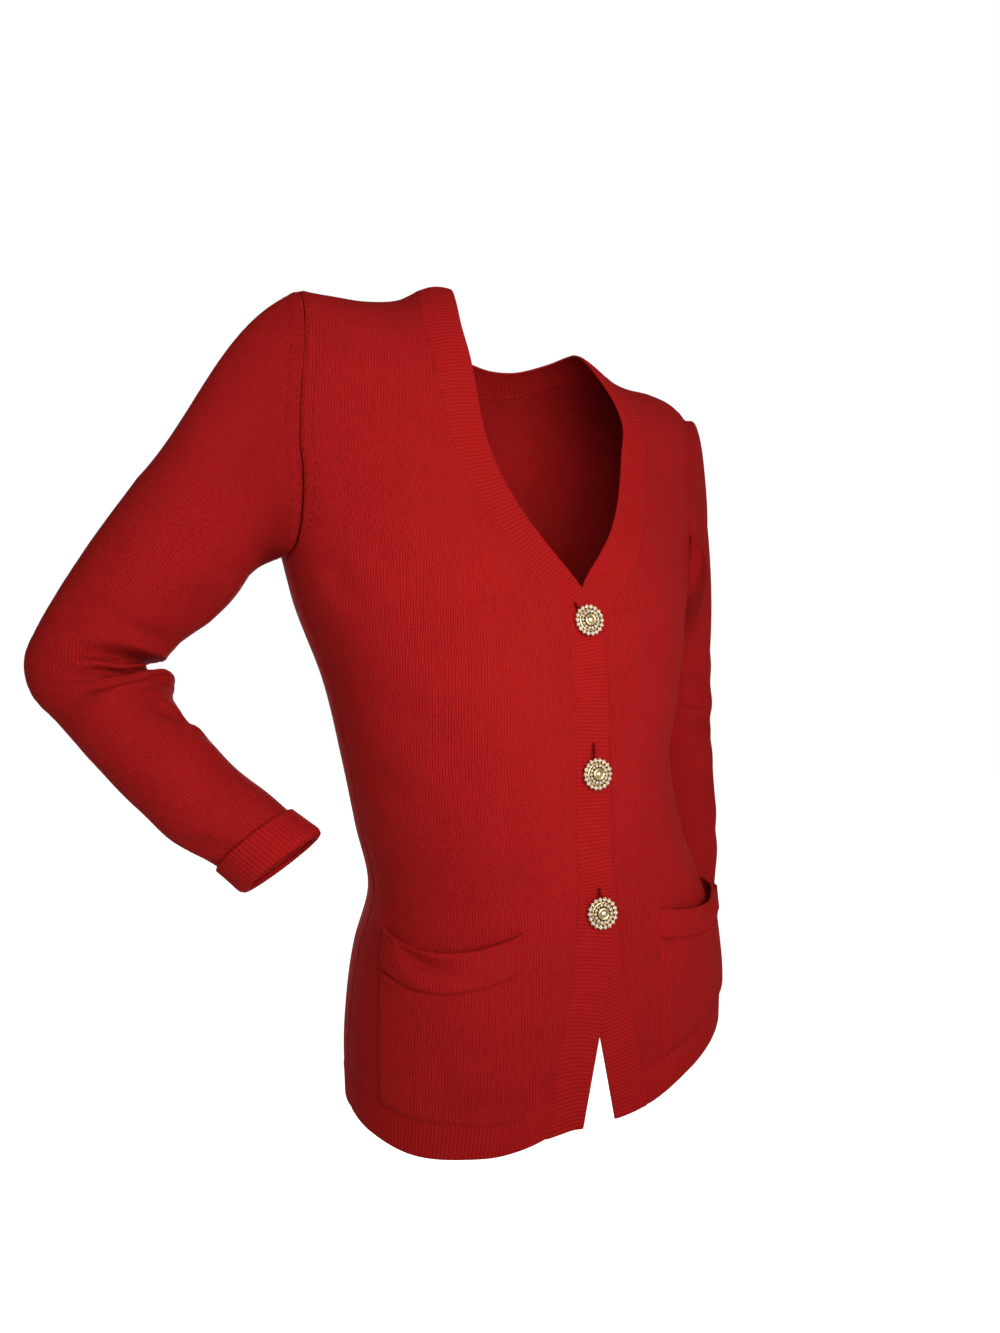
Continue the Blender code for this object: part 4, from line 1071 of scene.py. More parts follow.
@material
def light_table_acrylic(add):
    """Matt white acrylic of a light table, lit from below towards the backdrop."""
    grain = add.noise(add.place(), 60.0, 3.0)
    side = add.vector("DOT_PRODUCT", add.place(), BACKDROP_SIDE, output="Value")
    return {"Base Color": add.mix(grain, linear("F8F8F7"), linear("FCFCFB")),
            "Roughness": 0.95, "Emission Color": WHITE,
            "Emission Strength": add.ranged(side, 0.08, 0.70, 0.1, 0.5, "SMOOTHSTEP")}


# ---------------------------------------------------------------- pieces
MARK_SIZE = (0.0027, 0.0013, 0.0009)           # length, width and height of each stitch
SLIT_STITCH_SIZE = (0.0021, 0.0008, 0.0007)
POCKET_STITCH_SIZE = (0.0019, 0.0008, 0.0003)
SEAM_INSET = 0.0026           # of the stitches that lie beside an armhole seam
SLIT_STITCH_SPACING = 0.0011


def add_object(name, mesh, finishes=()):
    piece = bpy.data.objects.new(name, mesh)
    bpy.context.scene.collection.objects.link(piece)
    for each in finishes:
        mesh.materials.append(finish(each))
    return piece


def hand_over(piece, node_names):
    """Makes the piece ride on the body and stand for its CAD nodes."""
    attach(piece, "root")
    if node_names:
        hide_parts(*node_names)
    return piece


def make_cloth(name, mesh, inside=BODY_AXIS, rib=False, thickness=None):
    """A piece of cloth, from its outer face and points inside that the face turns from.

    The wall goes inward.  With no points inside, the mesh is both faces of the cloth.
    """
    piece = add_object(("ribbed_" if rib else "knitted_") + name, mesh,
                       () if rib else ["cashmere_stocking_stitch"])
    if inside is not None:
        face_away(mesh, inside)
    if rib:
        add_nodes(piece, rib_relief, {"Spacing": settings("rib").pitch,
                                      "Height": settings("rib").height,
                                      "Finish": finish("cashmere_rib_knit")})
    if inside is not None:
        wall = piece.modifiers.new("wall", "SOLIDIFY")
        wall.thickness = thickness or cloth().wall
        wall.offset = -1.0
        wall.use_even_offset = False
    return hand_over(baked(piece), [name])


def stitches(name, lines, spacing, size, seed):
    """Stitches along lines of (points, outward directions, lays)."""
    points, out, lay = (np.concatenate(part) for part in zip(*lines))
    ends = np.cumsum([len(line[0]) for line in lines]) - 1
    edges = [(k, k + 1) for k in range(len(points)) if k not in ends]
    mesh = bpy.data.meshes.new(name)
    mesh.from_pydata(points.tolist(), edges, [])
    for key, vectors in (("out", out), ("lay", lay)):
        layer = mesh.attributes.new(key, "FLOAT_VECTOR", "POINT")
        layer.data.foreach_set("vector", vectors.astype(np.float32).ravel())
    piece = add_object(name, mesh)
    add_nodes(piece, stitches_on_a_line, {
        **dict(zip(("Length", "Width", "Height"), size)), "Spacing": spacing, "Seed": seed,
        "Finish": finish("cashmere_sewing_yarn")})
    return hand_over(baked(piece), ())


def line_frame(points, out):
    """A line of points with its outward directions and its lays, along the line."""
    return points, unit(out), unit(np.gradient(points, axis=0))


def line_at(inset, points, ways, normals):
    """The line across the rows of a grid at this way along each of them."""
    line, out = (np.array([at_ways(inset, way, row) for way, row in zip(ways, rows)])
                 for rows in (points, normals))
    return line_frame(line, out)


# ---------------------------------------------------------------- fronts and back
PANEL_SIZE = (0.20, 0.62)     # width and height that set the number of columns and rows
ARMHOLE_RIDGE = 0.00035       # a low ridge that follows the armhole
ARMHOLE_RIDGE_PLACE = (0.0042, 0.0016)         # its way from the seam and half width
# Shares of the armhole between which the marks lie.
FRONT_MARKS = (0.10, 0.62)
BACK_MARKS = (0.10, 0.70)
SEAM_MARKS = (0.02, 0.99)
SLACK = 0.001                 # a station this near the last one is the last one


def panel_borders(side, face):
    """Functions of the stations that give a panel's outer and inner places."""
    levels = (HEM_HEIGHT + HEM_BAND,) + PANEL_LEVELS
    armpit = len(levels)
    runs = [run_at(level, face) for level in levels + (ARMPIT_HEIGHT,)]
    centre = runs + [-run for run in BACK_CENTRE_RUNS] + [SEWN_STATIONS["right"][-1, 1]]

    def to_shoulder(keys, run):
        """The last station is on the shoulder, where front and back lap each other."""
        return np.where(keys > armpit + ARMHOLE_STATIONS - SLACK, -face * SEAM_LAP / 2, run)

    def outer(keys):
        angle = np.full(len(keys), SIDE_ANGLES[side])
        places = np.stack([angle, np.interp(keys, range(armpit + 1), runs)], -1)
        high = keys > armpit
        places[high] = armhole_line(side, face, keys[high] - armpit)
        places[:, 1] = to_shoulder(keys, places[:, 1])
        return places

    def inner(keys):
        if face > 0:
            x, run = band_line(side, keys + 1, BAND_WIDTH - SEAM_LAP)
        else:
            # Above the centre line the band's line is read backwards, to the neck point.
            neck = EDGE_STATIONS - (keys - len(centre) + 1)
            x, run = band_line(side, np.minimum(neck, EDGE_STATIONS), BAND_WIDTH - SEAM_LAP)
            below = neck > EDGE_STATIONS
            x = np.where(below, 0.0, x)
            run = np.where(below, np.interp(keys, range(len(centre)), centre), run)
        run = to_shoulder(keys, run)
        return np.stack([np.where(np.abs(x) < 1e-9, math.pi / 2, angle_at(x, run)), run], -1)

    return outer, inner, armpit


def panel_grid(piece, side, face):
    """Points, knit places and borders of a front, or of one half of the back."""
    outer, inner, armpit = panel_borders(side, face)
    # Both halves of the back have their rows at the same stations, so that they join.
    guides = (outer, inner) if face > 0 else panel_borders("right", face)[:2]

    def middle(keys):
        return form_point(*(sum(guide(keys) for guide in guides) / 2).T)

    columns, rows = (int(size / cloth().grain) for size in PANEL_SIZE)
    keys, ways = row_keys(middle, armpit + ARMHOLE_STATIONS, rows)
    if face > 0:
        # The rows lie closer where the band turns at the foot of the V.
        turn = keys[(keys > V_STATIONS[0]) & (keys < V_STATIONS[1])]
        closer = np.sort(np.concatenate([keys, (turn[1:] + turn[:-1]) / 2]))
        keys, ways = closer, np.interp(closer, keys, ways)
    else:
        corner = armpit + len(BACK_CENTRE_RUNS) + 1
        keys[np.abs(keys - corner).argmin()] = corner
    angle, run, from_outer = spread_rows(outer(keys), inner(keys), columns)
    from_inner = from_outer[:, -1:] - from_outer
    if face < 0:
        from_inner = np.where(keys[:, None] >= corner, from_inner, 1.0)
    rise = (edge_dip(from_outer) + edge_dip(from_inner, LINKED_DIP)
            + edge_dip(ways, LINKED_DIP)[:, None]
            + edge_dip(ways[-1] - ways, LINKED_DIP)[:, None]
            + ARMHOLE_RIDGE * ease(keys[:, None] - armpit)
            * hump(from_outer, *ARMHOLE_RIDGE_PLACE))
    points = body_surface(piece, side, face, angle, run, rise)
    share = (keys - armpit) / ARMHOLE_STATIONS
    return points, knit_chart(angle, run), (share, from_outer, form_normal(angle, run))


def marks_line(grid, inset, lowest, highest):
    """Line at this inset from the outer border, between two shares of the armhole."""
    points, _, (share, ways, normals) = grid
    rows = (share > lowest) & (share < highest)
    return line_at(inset, points[rows], ways[rows], normals[rows])


class CARDIGAN_OT_fronts(bpy.types.Operator):
    """Makes the two fronts in stocking stitch, with the fashioning marks beside the armholes"""

    bl_idname = "cardigan.fronts"
    bl_label = "Fronts"

    def execute(self, context):
        sew = settings("stitch")
        for side in SIDES:
            name = f"front_{side}"
            grid = panel_grid(name, side, 1)
            piece = make_cloth(name, grid_mesh(name, [(*grid[:2], {})]))
            lines = [marks_line(grid, sew.mark_inset, *FRONT_MARKS),
                     marks_line(grid, SEAM_INSET, *SEAM_MARKS)]
            marks = stitches(f"fashioning_marks_{name}", lines, sew.mark_spacing, MARK_SIZE, 3)
        return {"FINISHED"}


class CARDIGAN_OT_back(bpy.types.Operator):
    """Makes the back in one piece, with its fashioning marks"""

    bl_idname = "cardigan.back"
    bl_label = "Back"

    def execute(self, context):
        sew = settings("stitch")
        grids = [panel_grid("back", side, -1) for side in SIDES]
        mesh = grid_mesh("back", [(*grid[:2], {}) for grid in grids], merge=True)
        piece = make_cloth("back", mesh)
        lines = [marks_line(grid, sew.mark_inset, *BACK_MARKS) for grid in grids]
        marks = stitches("fashioning_marks_back", lines, sew.mark_spacing, MARK_SIZE, 5)
        return {"FINISHED"}


# ---------------------------------------------------------------- hem and bands
HEM_ROWS = 14
RIB_STEPS = 4                 # rows or columns of the mesh to each rib
RIB_FADE = 0.003              # the ribs die out this far from a ribbed piece's edges
HEM_FADE = 0.25               # and this share of their height is left there
BAND_FADE = 0.2
HEM_RIDGE = 0.0006            # along the hem's seam
BAND_RIDGE = 0.0003           # along the band's seam
# Columns of a band, from its free edge: those before its buttonholes' and those beyond.
BAND_COLUMNS = ((0.0, 0.0006, 0.0016, 0.0034), (0.0255, 0.0282, 0.0293, BAND_WIDTH))
SLIT_COLUMN = 6               # the buttonholes lie between this column and the next
SLIT_LIP = 0.0012             # width of the raised lip beside a buttonhole
SLIT_LIP_RISE = 0.0003
SLIT_EDGE_DROP = 0.0007
SLIT_LEAST = 0.0002           # a slit's half width at which it opens
SLIT_CLOSED = 0.0011          # half way between its two columns where nothing is slit
SLIT_WAYS = (0.010, 0.0165)   # least and most way of the slits' line from the free edge
NECK_SLIT_WAY = 0.013         # the same line's way round the neck
SLIT_DRIFT = (0.010, 0.030)   # where a slit leaves that line: above its button, half length
NECK_KEY = 20                 # stations from here on lie beside the neck
HEMS = (("hem_front_right", 1, ["right"], 0.24), ("hem_front_left", 1, ["left"], 0.22),
        ("hem_back", -1, list(SIDES), 0.46))


def rib_values(along, fade, shape):
    """What rib_relief reads at each point."""
    return {"along": np.broadcast_to(along, shape), "fade": np.broadcast_to(fade, shape)}


def hem_grid(name, side, face):
    """Points of one half of a hem piece."""
    shares = even_ways(HEM_BAND + SEAM_LAP, HEM_ROWS) / HEM_BAND
    run = run_at(HEM_HEIGHT + HEM_BAND * shares, face)
    outer = np.stack([np.full(len(run), SIDE_ANGLES[side]), run], -1)
    if face > 0:
        x, end_run = band_line(side, shares, BAND_WIDTH - SEAM_LAP)
        inner = np.stack([angle_at(x, end_run), end_run], -1)
    else:
        inner = np.stack([np.full(len(run), math.pi / 2), run], -1)
    length = lengths_along(form_point(np.linspace(outer[0, 0], inner[0, 0], 60), run[0]))[-1]
    pitch = settings("rib").pitch
    count = RIB_STEPS * round(length / pitch) + 1
    angle, run, ways = spread_rows(outer, inner, count, plain=True)
    heights = (shares * HEM_BAND)[:, None]
    rise = (edge_dip(heights) + edge_dip(HEM_BAND + SEAM_LAP - heights, LINKED_DIP)
            + HEM_RIDGE * hump(heights, HEM_BAND - 0.0022, 0.0011) + edge_dip(ways, LINKED_DIP))
    if face > 0:
        rise = rise + edge_dip(ways[:, -1:] - ways, LINKED_DIP)
    points = body_surface(name, side, face, angle, run, rise)
    near_edge = ease(np.minimum(heights, HEM_BAND - heights) / RIB_FADE)
    fade = HEM_FADE + (1 - HEM_FADE) * near_edge
    values = rib_values(np.arange(count) * pitch / RIB_STEPS, fade, angle.shape)
    return points, np.stack([values["along"], run], -1), values


class CARDIGAN_OT_hem(bpy.types.Operator):
    """Makes the ribbed hem, one stretch for each panel"""

    bl_idname = "cardigan.hem"
    bl_label = "Ribbed hem"

    def execute(self, context):
        for name, face, sides, width in HEMS:
            grids = [hem_grid(name, side, face) for side in sides]
            piece = make_cloth(name, grid_mesh(name, grids, merge=True), rib=True)
        return {"FINISHED"}


def slit_half_width(index, height):
    """Half width of a buttonhole at this height above its button's middle."""
    share = (height + SLIT_BELOW) / (SLITS[index][1] + SLIT_BELOW)
    inside = (share > 0) & (share < 1)
    share = np.clip(share, 0.0, 1.0)
    return np.where(inside, SLIT_WIDTH / 2 * np.sqrt(share * 4) * (1 - share) ** 0.8, 0.0)


def band_grid(side):
    """Points of a band with the slits of its buttonholes, and the rows that are open."""
    pitch = settings("rib").pitch
    places = edge_station_places(side)

    def line(keys):
        x, run = through(places, keys).T
        return form_point(angle_at(x, run), run)

    length = lengths_along(line(np.linspace(0, EDGE_STATIONS, 1500)))[-1]
    count = RIB_STEPS * round(length / pitch) + 1
    keys, ways = row_keys(line, EDGE_STATIONS, count, plain=True)
    run = through(places, keys)[:, 1]
    level = over_shoulder(run)[0]
    front = keys < NECK_KEY
    centre = np.where(front, -EDGE(np.maximum(run, 0.0))[0], NECK_SLIT_WAY)
    centre = np.clip(centre, *SLIT_WAYS)
    half = np.full(len(keys), SLIT_CLOSED)
    open_row = np.zeros(len(keys), bool)
    for index, middle in enumerate(BUTTON_HEIGHTS):
        near = hump(level, middle + SLIT_DRIFT[0], SLIT_DRIFT[1]) * front
        centre = centre + SLITS[index][0] * near
        width = slit_half_width(index, level - middle) * front
        if side == "right":
            open_row |= width > SLIT_LEAST
            half = np.where(width > SLIT_LEAST, width, half)
    left, right = centre - half, centre + half
    before, beyond = (np.tile(part, (len(keys), 1)).T for part in BAND_COLUMNS)
    distance = np.stack([*before, (before[-1] + left) / 2, left - SLIT_LIP, left,
                         right, right + SLIT_LIP, (right + beyond[0]) / 2, *beyond], -1)
    x, run = np.stack([band_line(side, keys, column) for column in distance.T], -1)
    back_neck = (keys > EDGE_STATIONS - 6)[:, None]
    sign = SIDES[side]
    x = np.where(back_neck, sign * np.maximum(sign * x, -SEAM_LAP / 2), x)
    angle = angle_at(x, run)
    slit_edge = np.zeros_like(distance)
    slit_edge[:, SLIT_COLUMN:SLIT_COLUMN + 2] = open_row[:, None]
    lip = np.zeros_like(distance)
    lip[:, SLIT_COLUMN - 1] = lip[:, SLIT_COLUMN + 2] = open_row
    rise = (edge_dip(distance) + edge_dip(BAND_WIDTH - distance, LINKED_DIP)
            + BAND_RIDGE * hump(distance, BAND_WIDTH - 0.0020, 0.0010)
            + edge_dip(ways)[:, None] + edge_dip(ways[-1] - ways, LINKED_DIP)[:, None]
            - SLIT_EDGE_DROP * slit_edge + SLIT_LIP_RISE * lip)
    points = body_surface(f"band_{side}", side, 1, angle, run, rise)
    near_edge = ease(np.minimum(distance, BAND_WIDTH - distance) / RIB_FADE)
    fade = BAND_FADE + (1 - BAND_FADE) * near_edge
    values = rib_values((np.arange(count) * pitch / RIB_STEPS)[:, None],
                        fade * (1 - 0.7 * slit_edge), distance.shape)
    values["hole"] = np.zeros(distance.shape, bool)
    values["hole"][:-1, SLIT_COLUMN] = open_row[:-1] & open_row[1:]
    return (points, np.stack([values["along"], distance], -1), values), open_row


def buttonhole_lines(points, open_row):
    """Lines round each slit for the overcast stitches."""
    lines = []
    rows = np.nonzero(open_row)[0]
    for part in np.split(rows, np.nonzero(np.diff(rows) > 1)[0] + 1):
        for edge, beside in ((SLIT_COLUMN, SLIT_COLUMN - 1), (SLIT_COLUMN + 1, SLIT_COLUMN + 2)):
            line = points[part, edge] * 0.35 + points[part, beside] * 0.65
            across = unit(points[part, beside] - points[part, edge])
            out = unit(np.cross(across, unit(np.gradient(line, axis=0))))
            out = np.where(out[:, 1:2] < 0, out, -out)
            lines.append((line + out * 0.0001, out, across))
    return lines


class CARDIGAN_OT_bands(bpy.types.Operator):
    """Makes the ribbed front and neck bands, with the buttonholes in the right one"""

    bl_idname = "cardigan.bands"
    bl_label = "Front bands"

    def execute(self, context):
        for side in SIDES:
            name = f"band_{side}"
            grid, open_row = band_grid(side)
            piece = make_cloth(name, grid_mesh(name, [grid]), rib=True)
            extra = []
            if side == "right":
                extra = [stitches("buttonhole_stitches", buttonhole_lines(grid[0], open_row),
                                  SLIT_STITCH_SPACING, SLIT_STITCH_SIZE, 9)]
        return {"FINISHED"}


# ---------------------------------------------------------------- sleeves and cuffs
SLEEVE_COLUMNS = 150
HEAD_ROWS = 34                # rows from the armhole to the arm's own sections
HEAD_ROWS_POWER = 1.25        # they lie closer to the armhole
SLEEVE_RIDGE = 0.0006         # along the armhole seam
SEAM_GROOVE = 0.0006          # the seam under the arm shows as a shallow groove
ELBOW_CLOSER = 1.8            # the rows beside the elbow lie closer by this share
HEAD_FULL_AT = 0.13           # share of the head where it is fullest, and the reach of that
DIRECTION_STEP = 0.002
CUFF_GAP = 0.0004             # between the sleeve's outer face and the cuff
CUFF_STEP = 0.0016


def turn_between(turn, degrees):
    """From an angle in degrees to these turns, the short way round."""
    return (turn - math.radians(degrees) + math.pi) % (2 * math.pi) - math.pi


def turn_hump(turn, degrees, width=FULLNESS_SPREAD):
    """A smooth hump of height 1 about a turn in degrees."""
    return hump(turn_between(turn, degrees), 0.0, width)


class Arm:
    """The form of one arm of the garment."""

    def __init__(self, side):
        self.side = side
        shoulder, elbow, wrist = (np.array(place) for place in ARM_PATHS[side])
        upper, lower = unit(elbow - shoulder), unit(wrist - elbow)
        start, end = elbow - upper * ELBOW_BEND, elbow + lower * ELBOW_BEND
        t = np.linspace(0, 1, 30, endpoint=False)[:, None]
        bend = np.linspace(0, 1, 20, endpoint=False)[:, None]
        self.points = np.concatenate([
            shoulder + (start - shoulder) * t,
            (1 - bend) ** 2 * start + 2 * bend * (1 - bend) * elbow + bend * bend * end,
            end + (wrist - end) * np.linspace(0, 1, 30)[:, None],
        ])
        self.lengths = lengths_along(self.points)
        self.length = self.lengths[-1]
        self.across = unit(np.cross(upper, lower))
        self.sections = Curve(SLEEVE_SECTIONS[side])

    def place(self, share):
        """Centre of the path, its direction and the outside of the elbow's bend."""
        at = np.asarray(share, float) * self.length
        before, here, after = (
            at_ways(np.clip(at + step, 0, self.length), self.lengths, self.points)
            for step in (-DIRECTION_STEP, 0.0, DIRECTION_STEP))
        direction = unit(after - before)
        return here, direction, unit(np.cross(direction, self.across))

    def fold(self, share, turn):
        """Rise of the cloth where the elbow's folds cross this place."""
        rise = 0.0
        for at, height, reach, middle, wide in SLEEVE_FOLDS[self.side]:
            off = turn_between(turn, middle) / math.radians(wide)
            rise = rise + height * np.exp(-((share - at) / reach) ** 2 - off**2)
        for middle, rows in SLEEVE_FULLNESS[self.side]:
            rise = rise + Curve(rows)(share)[0] * turn_hump(turn, middle)
        return rise

    def point(self, share, turn, lift=0.0):
        """Points of the arm's form at these shares of its way and turns about it."""
        share, turn, lift = np.broadcast_arrays(share, turn, lift)
        centre, direction, outside = self.place(share)
        in_plane, across = self.sections(share)
        rise = lift + self.fold(share, turn)
        slant = (WRIST_SLANT[self.side] * np.cos(turn)
                 * ease((share - WRIST_SLANT_FROM) / (1 - WRIST_SLANT_FROM)))
        return (centre - direction * slant[..., None]
                + outside * (np.cos(turn) * (in_plane + rise))[..., None]
                + self.across * (np.sin(turn) * (across + rise))[..., None])


def armhole_columns(side, arm, count):
    """Start, leaving direction and turn about the arm of each column of the sleeve.

    The columns go round from the shoulder down the front and up the back.
    """
    keys = np.linspace(ARMHOLE_STATIONS, 0, 300)
    loop = np.concatenate([armhole_line(side, 1, keys),
                           armhole_line(side, -1, keys[::-1])[1:]])
    lengths = lengths_along(form_point(*loop.T))
    even = np.linspace(0, lengths[-1], count + 1)[:-1]
    loop = at_ways(even, lengths, loop)
    points, normals = form_point(*loop.T), form_normal(*loop.T)
    along = even / lengths[-1]
    _, direction, outside = arm.place(HEAD_SHARE[side])
    crown = np.array([SIDES[side], 0.0, CROWN_RISE])
    first = math.atan2(crown.dot(arm.across), crown.dot(outside))
    onward = arm.across * math.cos(first) - outside * math.sin(first)
    sense = 1.0 if onward[1] < 0 else -1.0
    edge = np.roll(points, -1, axis=0) - np.roll(points, 1, axis=0)
    away = unit(np.cross(edge, normals))
    wrong = (away[:, 0] * SIDES[side] < 0) & (np.abs(along - 0.5) > 0.2)
    away[wrong] *= -1
    below = ease(1.55 - np.abs(along - 0.5) * 5.0)[:, None]      # under the arm
    along_arm = np.maximum(below, HEAD_SLOPE[side])
    leave = unit(away * (1 - along_arm) + direction * along_arm
                 + normals * UNDERARM_OUT[side] * below)
    gap = SLEEVE_GAP + cloth().wall * np.maximum(-dot(leave, normals), 0.0)
    return points + gap * leave, leave, first + sense * 2 * math.pi * along


def sleeve_grid(side, arm):
    """Points, knit places and ways of a sleeve; its columns start and end under the arm."""
    half = SLEEVE_COLUMNS // 2
    order = np.concatenate([np.arange(half, SLEEVE_COLUMNS), np.arange(0, half + 1)])
    start, leave, turn = (part[order] for part in armhole_columns(side, arm, SLEEVE_COLUMNS))
    head_share = HEAD_SHARE[side]
    centre, direction, _ = arm.place(head_share)
    end = arm.point(head_share, turn)
    pull = np.linalg.norm(end - start, axis=-1, keepdims=True)
    t = (np.linspace(0, 1, HEAD_ROWS) ** HEAD_ROWS_POWER)[:, None, None]
    head = hermite(t, start, leave * pull * HEAD_PULL[side], end, direction * pull)
    full = (HEAD_FULLNESS[side] * hump(t, HEAD_FULL_AT, HEAD_FULL_AT) * ease(t / 0.12)
            * turn_hump(turn, HEAD_TURN)[:, None])
    head = head + unit(head - centre) * full
    end_share = 1 - CUFF_LIP / arm.length
    fine = np.linspace(head_share, end_share, 400)
    weight = np.cumsum(1 + ELBOW_CLOSER * hump(fine, *ELBOW_ROWS[side]))
    weight -= weight[0]
    rows = int(weight[-1] / 400 * arm.length * (end_share - head_share) / cloth().grain)
    shares = np.interp(np.linspace(0, weight[-1], rows + 1)[1:], weight, fine)
    points = np.concatenate([head, arm.point(shares[:, None], turn)])
    ways = lengths_along(points, axis=0)
    normal = grid_normals(points, arm.points)
    before = (ways - ways[HEAD_ROWS - 1])[:HEAD_ROWS] / arm.length + head_share
    share = np.concatenate([before, shares[:, None] + 0 * turn])
    around = turn_between(turn, 180) + math.pi
    flat = np.stack([share * arm.length, around * CREASE_RADIUS + 0 * share], -1)
    creases = [tuple((at * arm.length, math.radians(degrees) * CREASE_RADIUS)
                     for at, degrees in row[:3]) + row[3:] for row in SLEEVE_CREASES[side]]
    round_way = lengths_along(points, axis=1)
    seam = np.minimum(round_way, round_way[:, -1:] - round_way)
    rise = (edge_dip(ways) + SLEEVE_RIDGE * hump(ways, 0.0045, 0.0019)
            + fold_rise(flat, creases) - SEAM_GROOVE * hump(seam, 0.0, 0.0016))
    points = points + normal * rise[..., None]
    chart = np.stack([round_way - round_way[:, half:half + 1],
                      np.mean(ways, axis=1, keepdims=True) + 0 * round_way], -1)
    return points, chart, ways, normal


def grid_normals(points, inside):
    """Outward directions of a tube of points round an inner line."""
    loop = np.concatenate([points[:, -2:-1], points, points[:, 1:2]], axis=1)
    around = loop[:, 2:] - loop[:, :-2]
    normal = unit(np.cross(around, np.gradient(points, axis=0)))
    flat = points.reshape(-1, 3)
    nearest = inside[((flat[:, None] - inside) ** 2).sum(-1).argmin(1)].reshape(points.shape)
    return normal * np.sign(dot(points - nearest, normal).sum())


def cuff_grid(side, arm):
    """Points round a cuff's closed section: down its outside and back up its inside."""
    top, end = 1 - CUFF_LENGTH / arm.length, 1 - CUFF_LIP / arm.length
    middle = (top + end) / 2
    inner = CUFF_GAP
    outer = inner + CUFF_WALL
    flared = outer + CUFF_FLARE
    # Each corner: share of the arm's way, a further way along it, and rise from its form.
    corners = np.array([(share + way / arm.length, lift) for share, way, lift in (
        (top, 0.0010, inner), (top, 0.0, inner + 0.0009), (top, 0.0008, outer),
        (top, 0.0030, outer + 0.0002), (middle, 0.0, outer + CUFF_FLARE / 2),
        (end, -0.0020, flared), (end, 0.0, flared - 0.0001), (1.0, -0.0006, flared - 0.0013),
        (1.0, 0.0, flared - 0.0032), (1.0, 0.0, 0.0004), (1.0, -0.0004, -0.0008),
        (end, 0.0002, -cloth().wall), (end, 0.0002, inner), (middle, 0.0, inner))])
    section = []
    for here, after in zip(corners, np.roll(corners, -1, axis=0)):
        size = math.hypot((after[0] - here[0]) * arm.length, after[1] - here[1])
        steps = max(1, round(size / CUFF_STEP))
        section += [here + (after - here) * k / steps for k in range(steps)]
    section = np.array(section + section[:1])
    pitch = settings("rib").pitch
    _, _, turn = armhole_columns(side, arm, 8)
    sense = math.copysign(1.0, turn[1] - turn[0])
    girth = lengths_along(arm.point(1.0, np.linspace(0, 2 * math.pi, 200)))[-1]
    count = RIB_STEPS * round(girth / pitch)
    turns = turn[0] + sense * np.linspace(0, 2 * math.pi, count + 1)
    points = arm.point(section[:, :1], turns[None, :], section[:, 1:])
    outside = ease((section[:, 1:] - inner - 0.0004) / 0.0015)
    values = rib_values(np.arange(count + 1) * pitch / RIB_STEPS, outside, points.shape[:2])
    down = np.broadcast_to(section[:, :1] * arm.length, points.shape[:2])
    return points, np.stack([values["along"], down], -1), values


class CARDIGAN_OT_sleeves(bpy.types.Operator):
    """Makes the sleeves with their elbow folds, and the marks beside the armhole seam"""

    bl_idname = "cardigan.sleeves"
    bl_label = "Sleeves"

    def execute(self, context):
        sew = settings("stitch")
        for side in SIDES:
            arm = Arm(side)
            name = f"sleeve_{side}"
            points, chart, ways, normals = sleeve_grid(side, arm)
            mesh = grid_mesh(name, [(points, chart, {})], closed=True)
            piece = make_cloth(name, mesh, arm.points)
            columns = [part.swapaxes(0, 1)[:-1] for part in (points, ways, normals)]
            lines = [line_at(inset, *columns) for inset in (SEAM_INSET, sew.mark_inset)]
            marks = stitches(f"fashioning_marks_{name}", lines, sew.mark_spacing, MARK_SIZE, 7)
        return {"FINISHED"}


class CARDIGAN_OT_cuffs(bpy.types.Operator):
    """Makes the turned-back ribbed cuffs"""

    bl_idname = "cardigan.cuffs"
    bl_label = "Cuffs"

    def execute(self, context):
        for side in SIDES:
            name = f"cuff_{side}"
            mesh = grid_mesh(name, [cuff_grid(side, Arm(side))], closed=True, merge=True)
            piece = make_cloth(name, mesh, inside=None, rib=True)
        return {"FINISHED"}


# ---------------------------------------------------------------- pockets
POCKET_ROW = 0.0011           # from one row, and one column, of a pocket to the next
POCKET_COLUMN = 0.0024
POCKET_WALL = 0.0012
POCKET_GROOVE = -0.0021       # below the turned top
POCKET_SEWN = -0.0031         # the pocket lies closer to the front at its seams
POCKET_SEWN_REACH = 0.0090
POCKET_TOP_RISE = 0.0011      # of the turned top, which is double
MOUTH_ROLL = (0.0012, 0.0022, 0.0016)          # rise, place below the mouth and half width
MOUTH_DIP = 0.0010            # the cloth turns down by this at the mouth


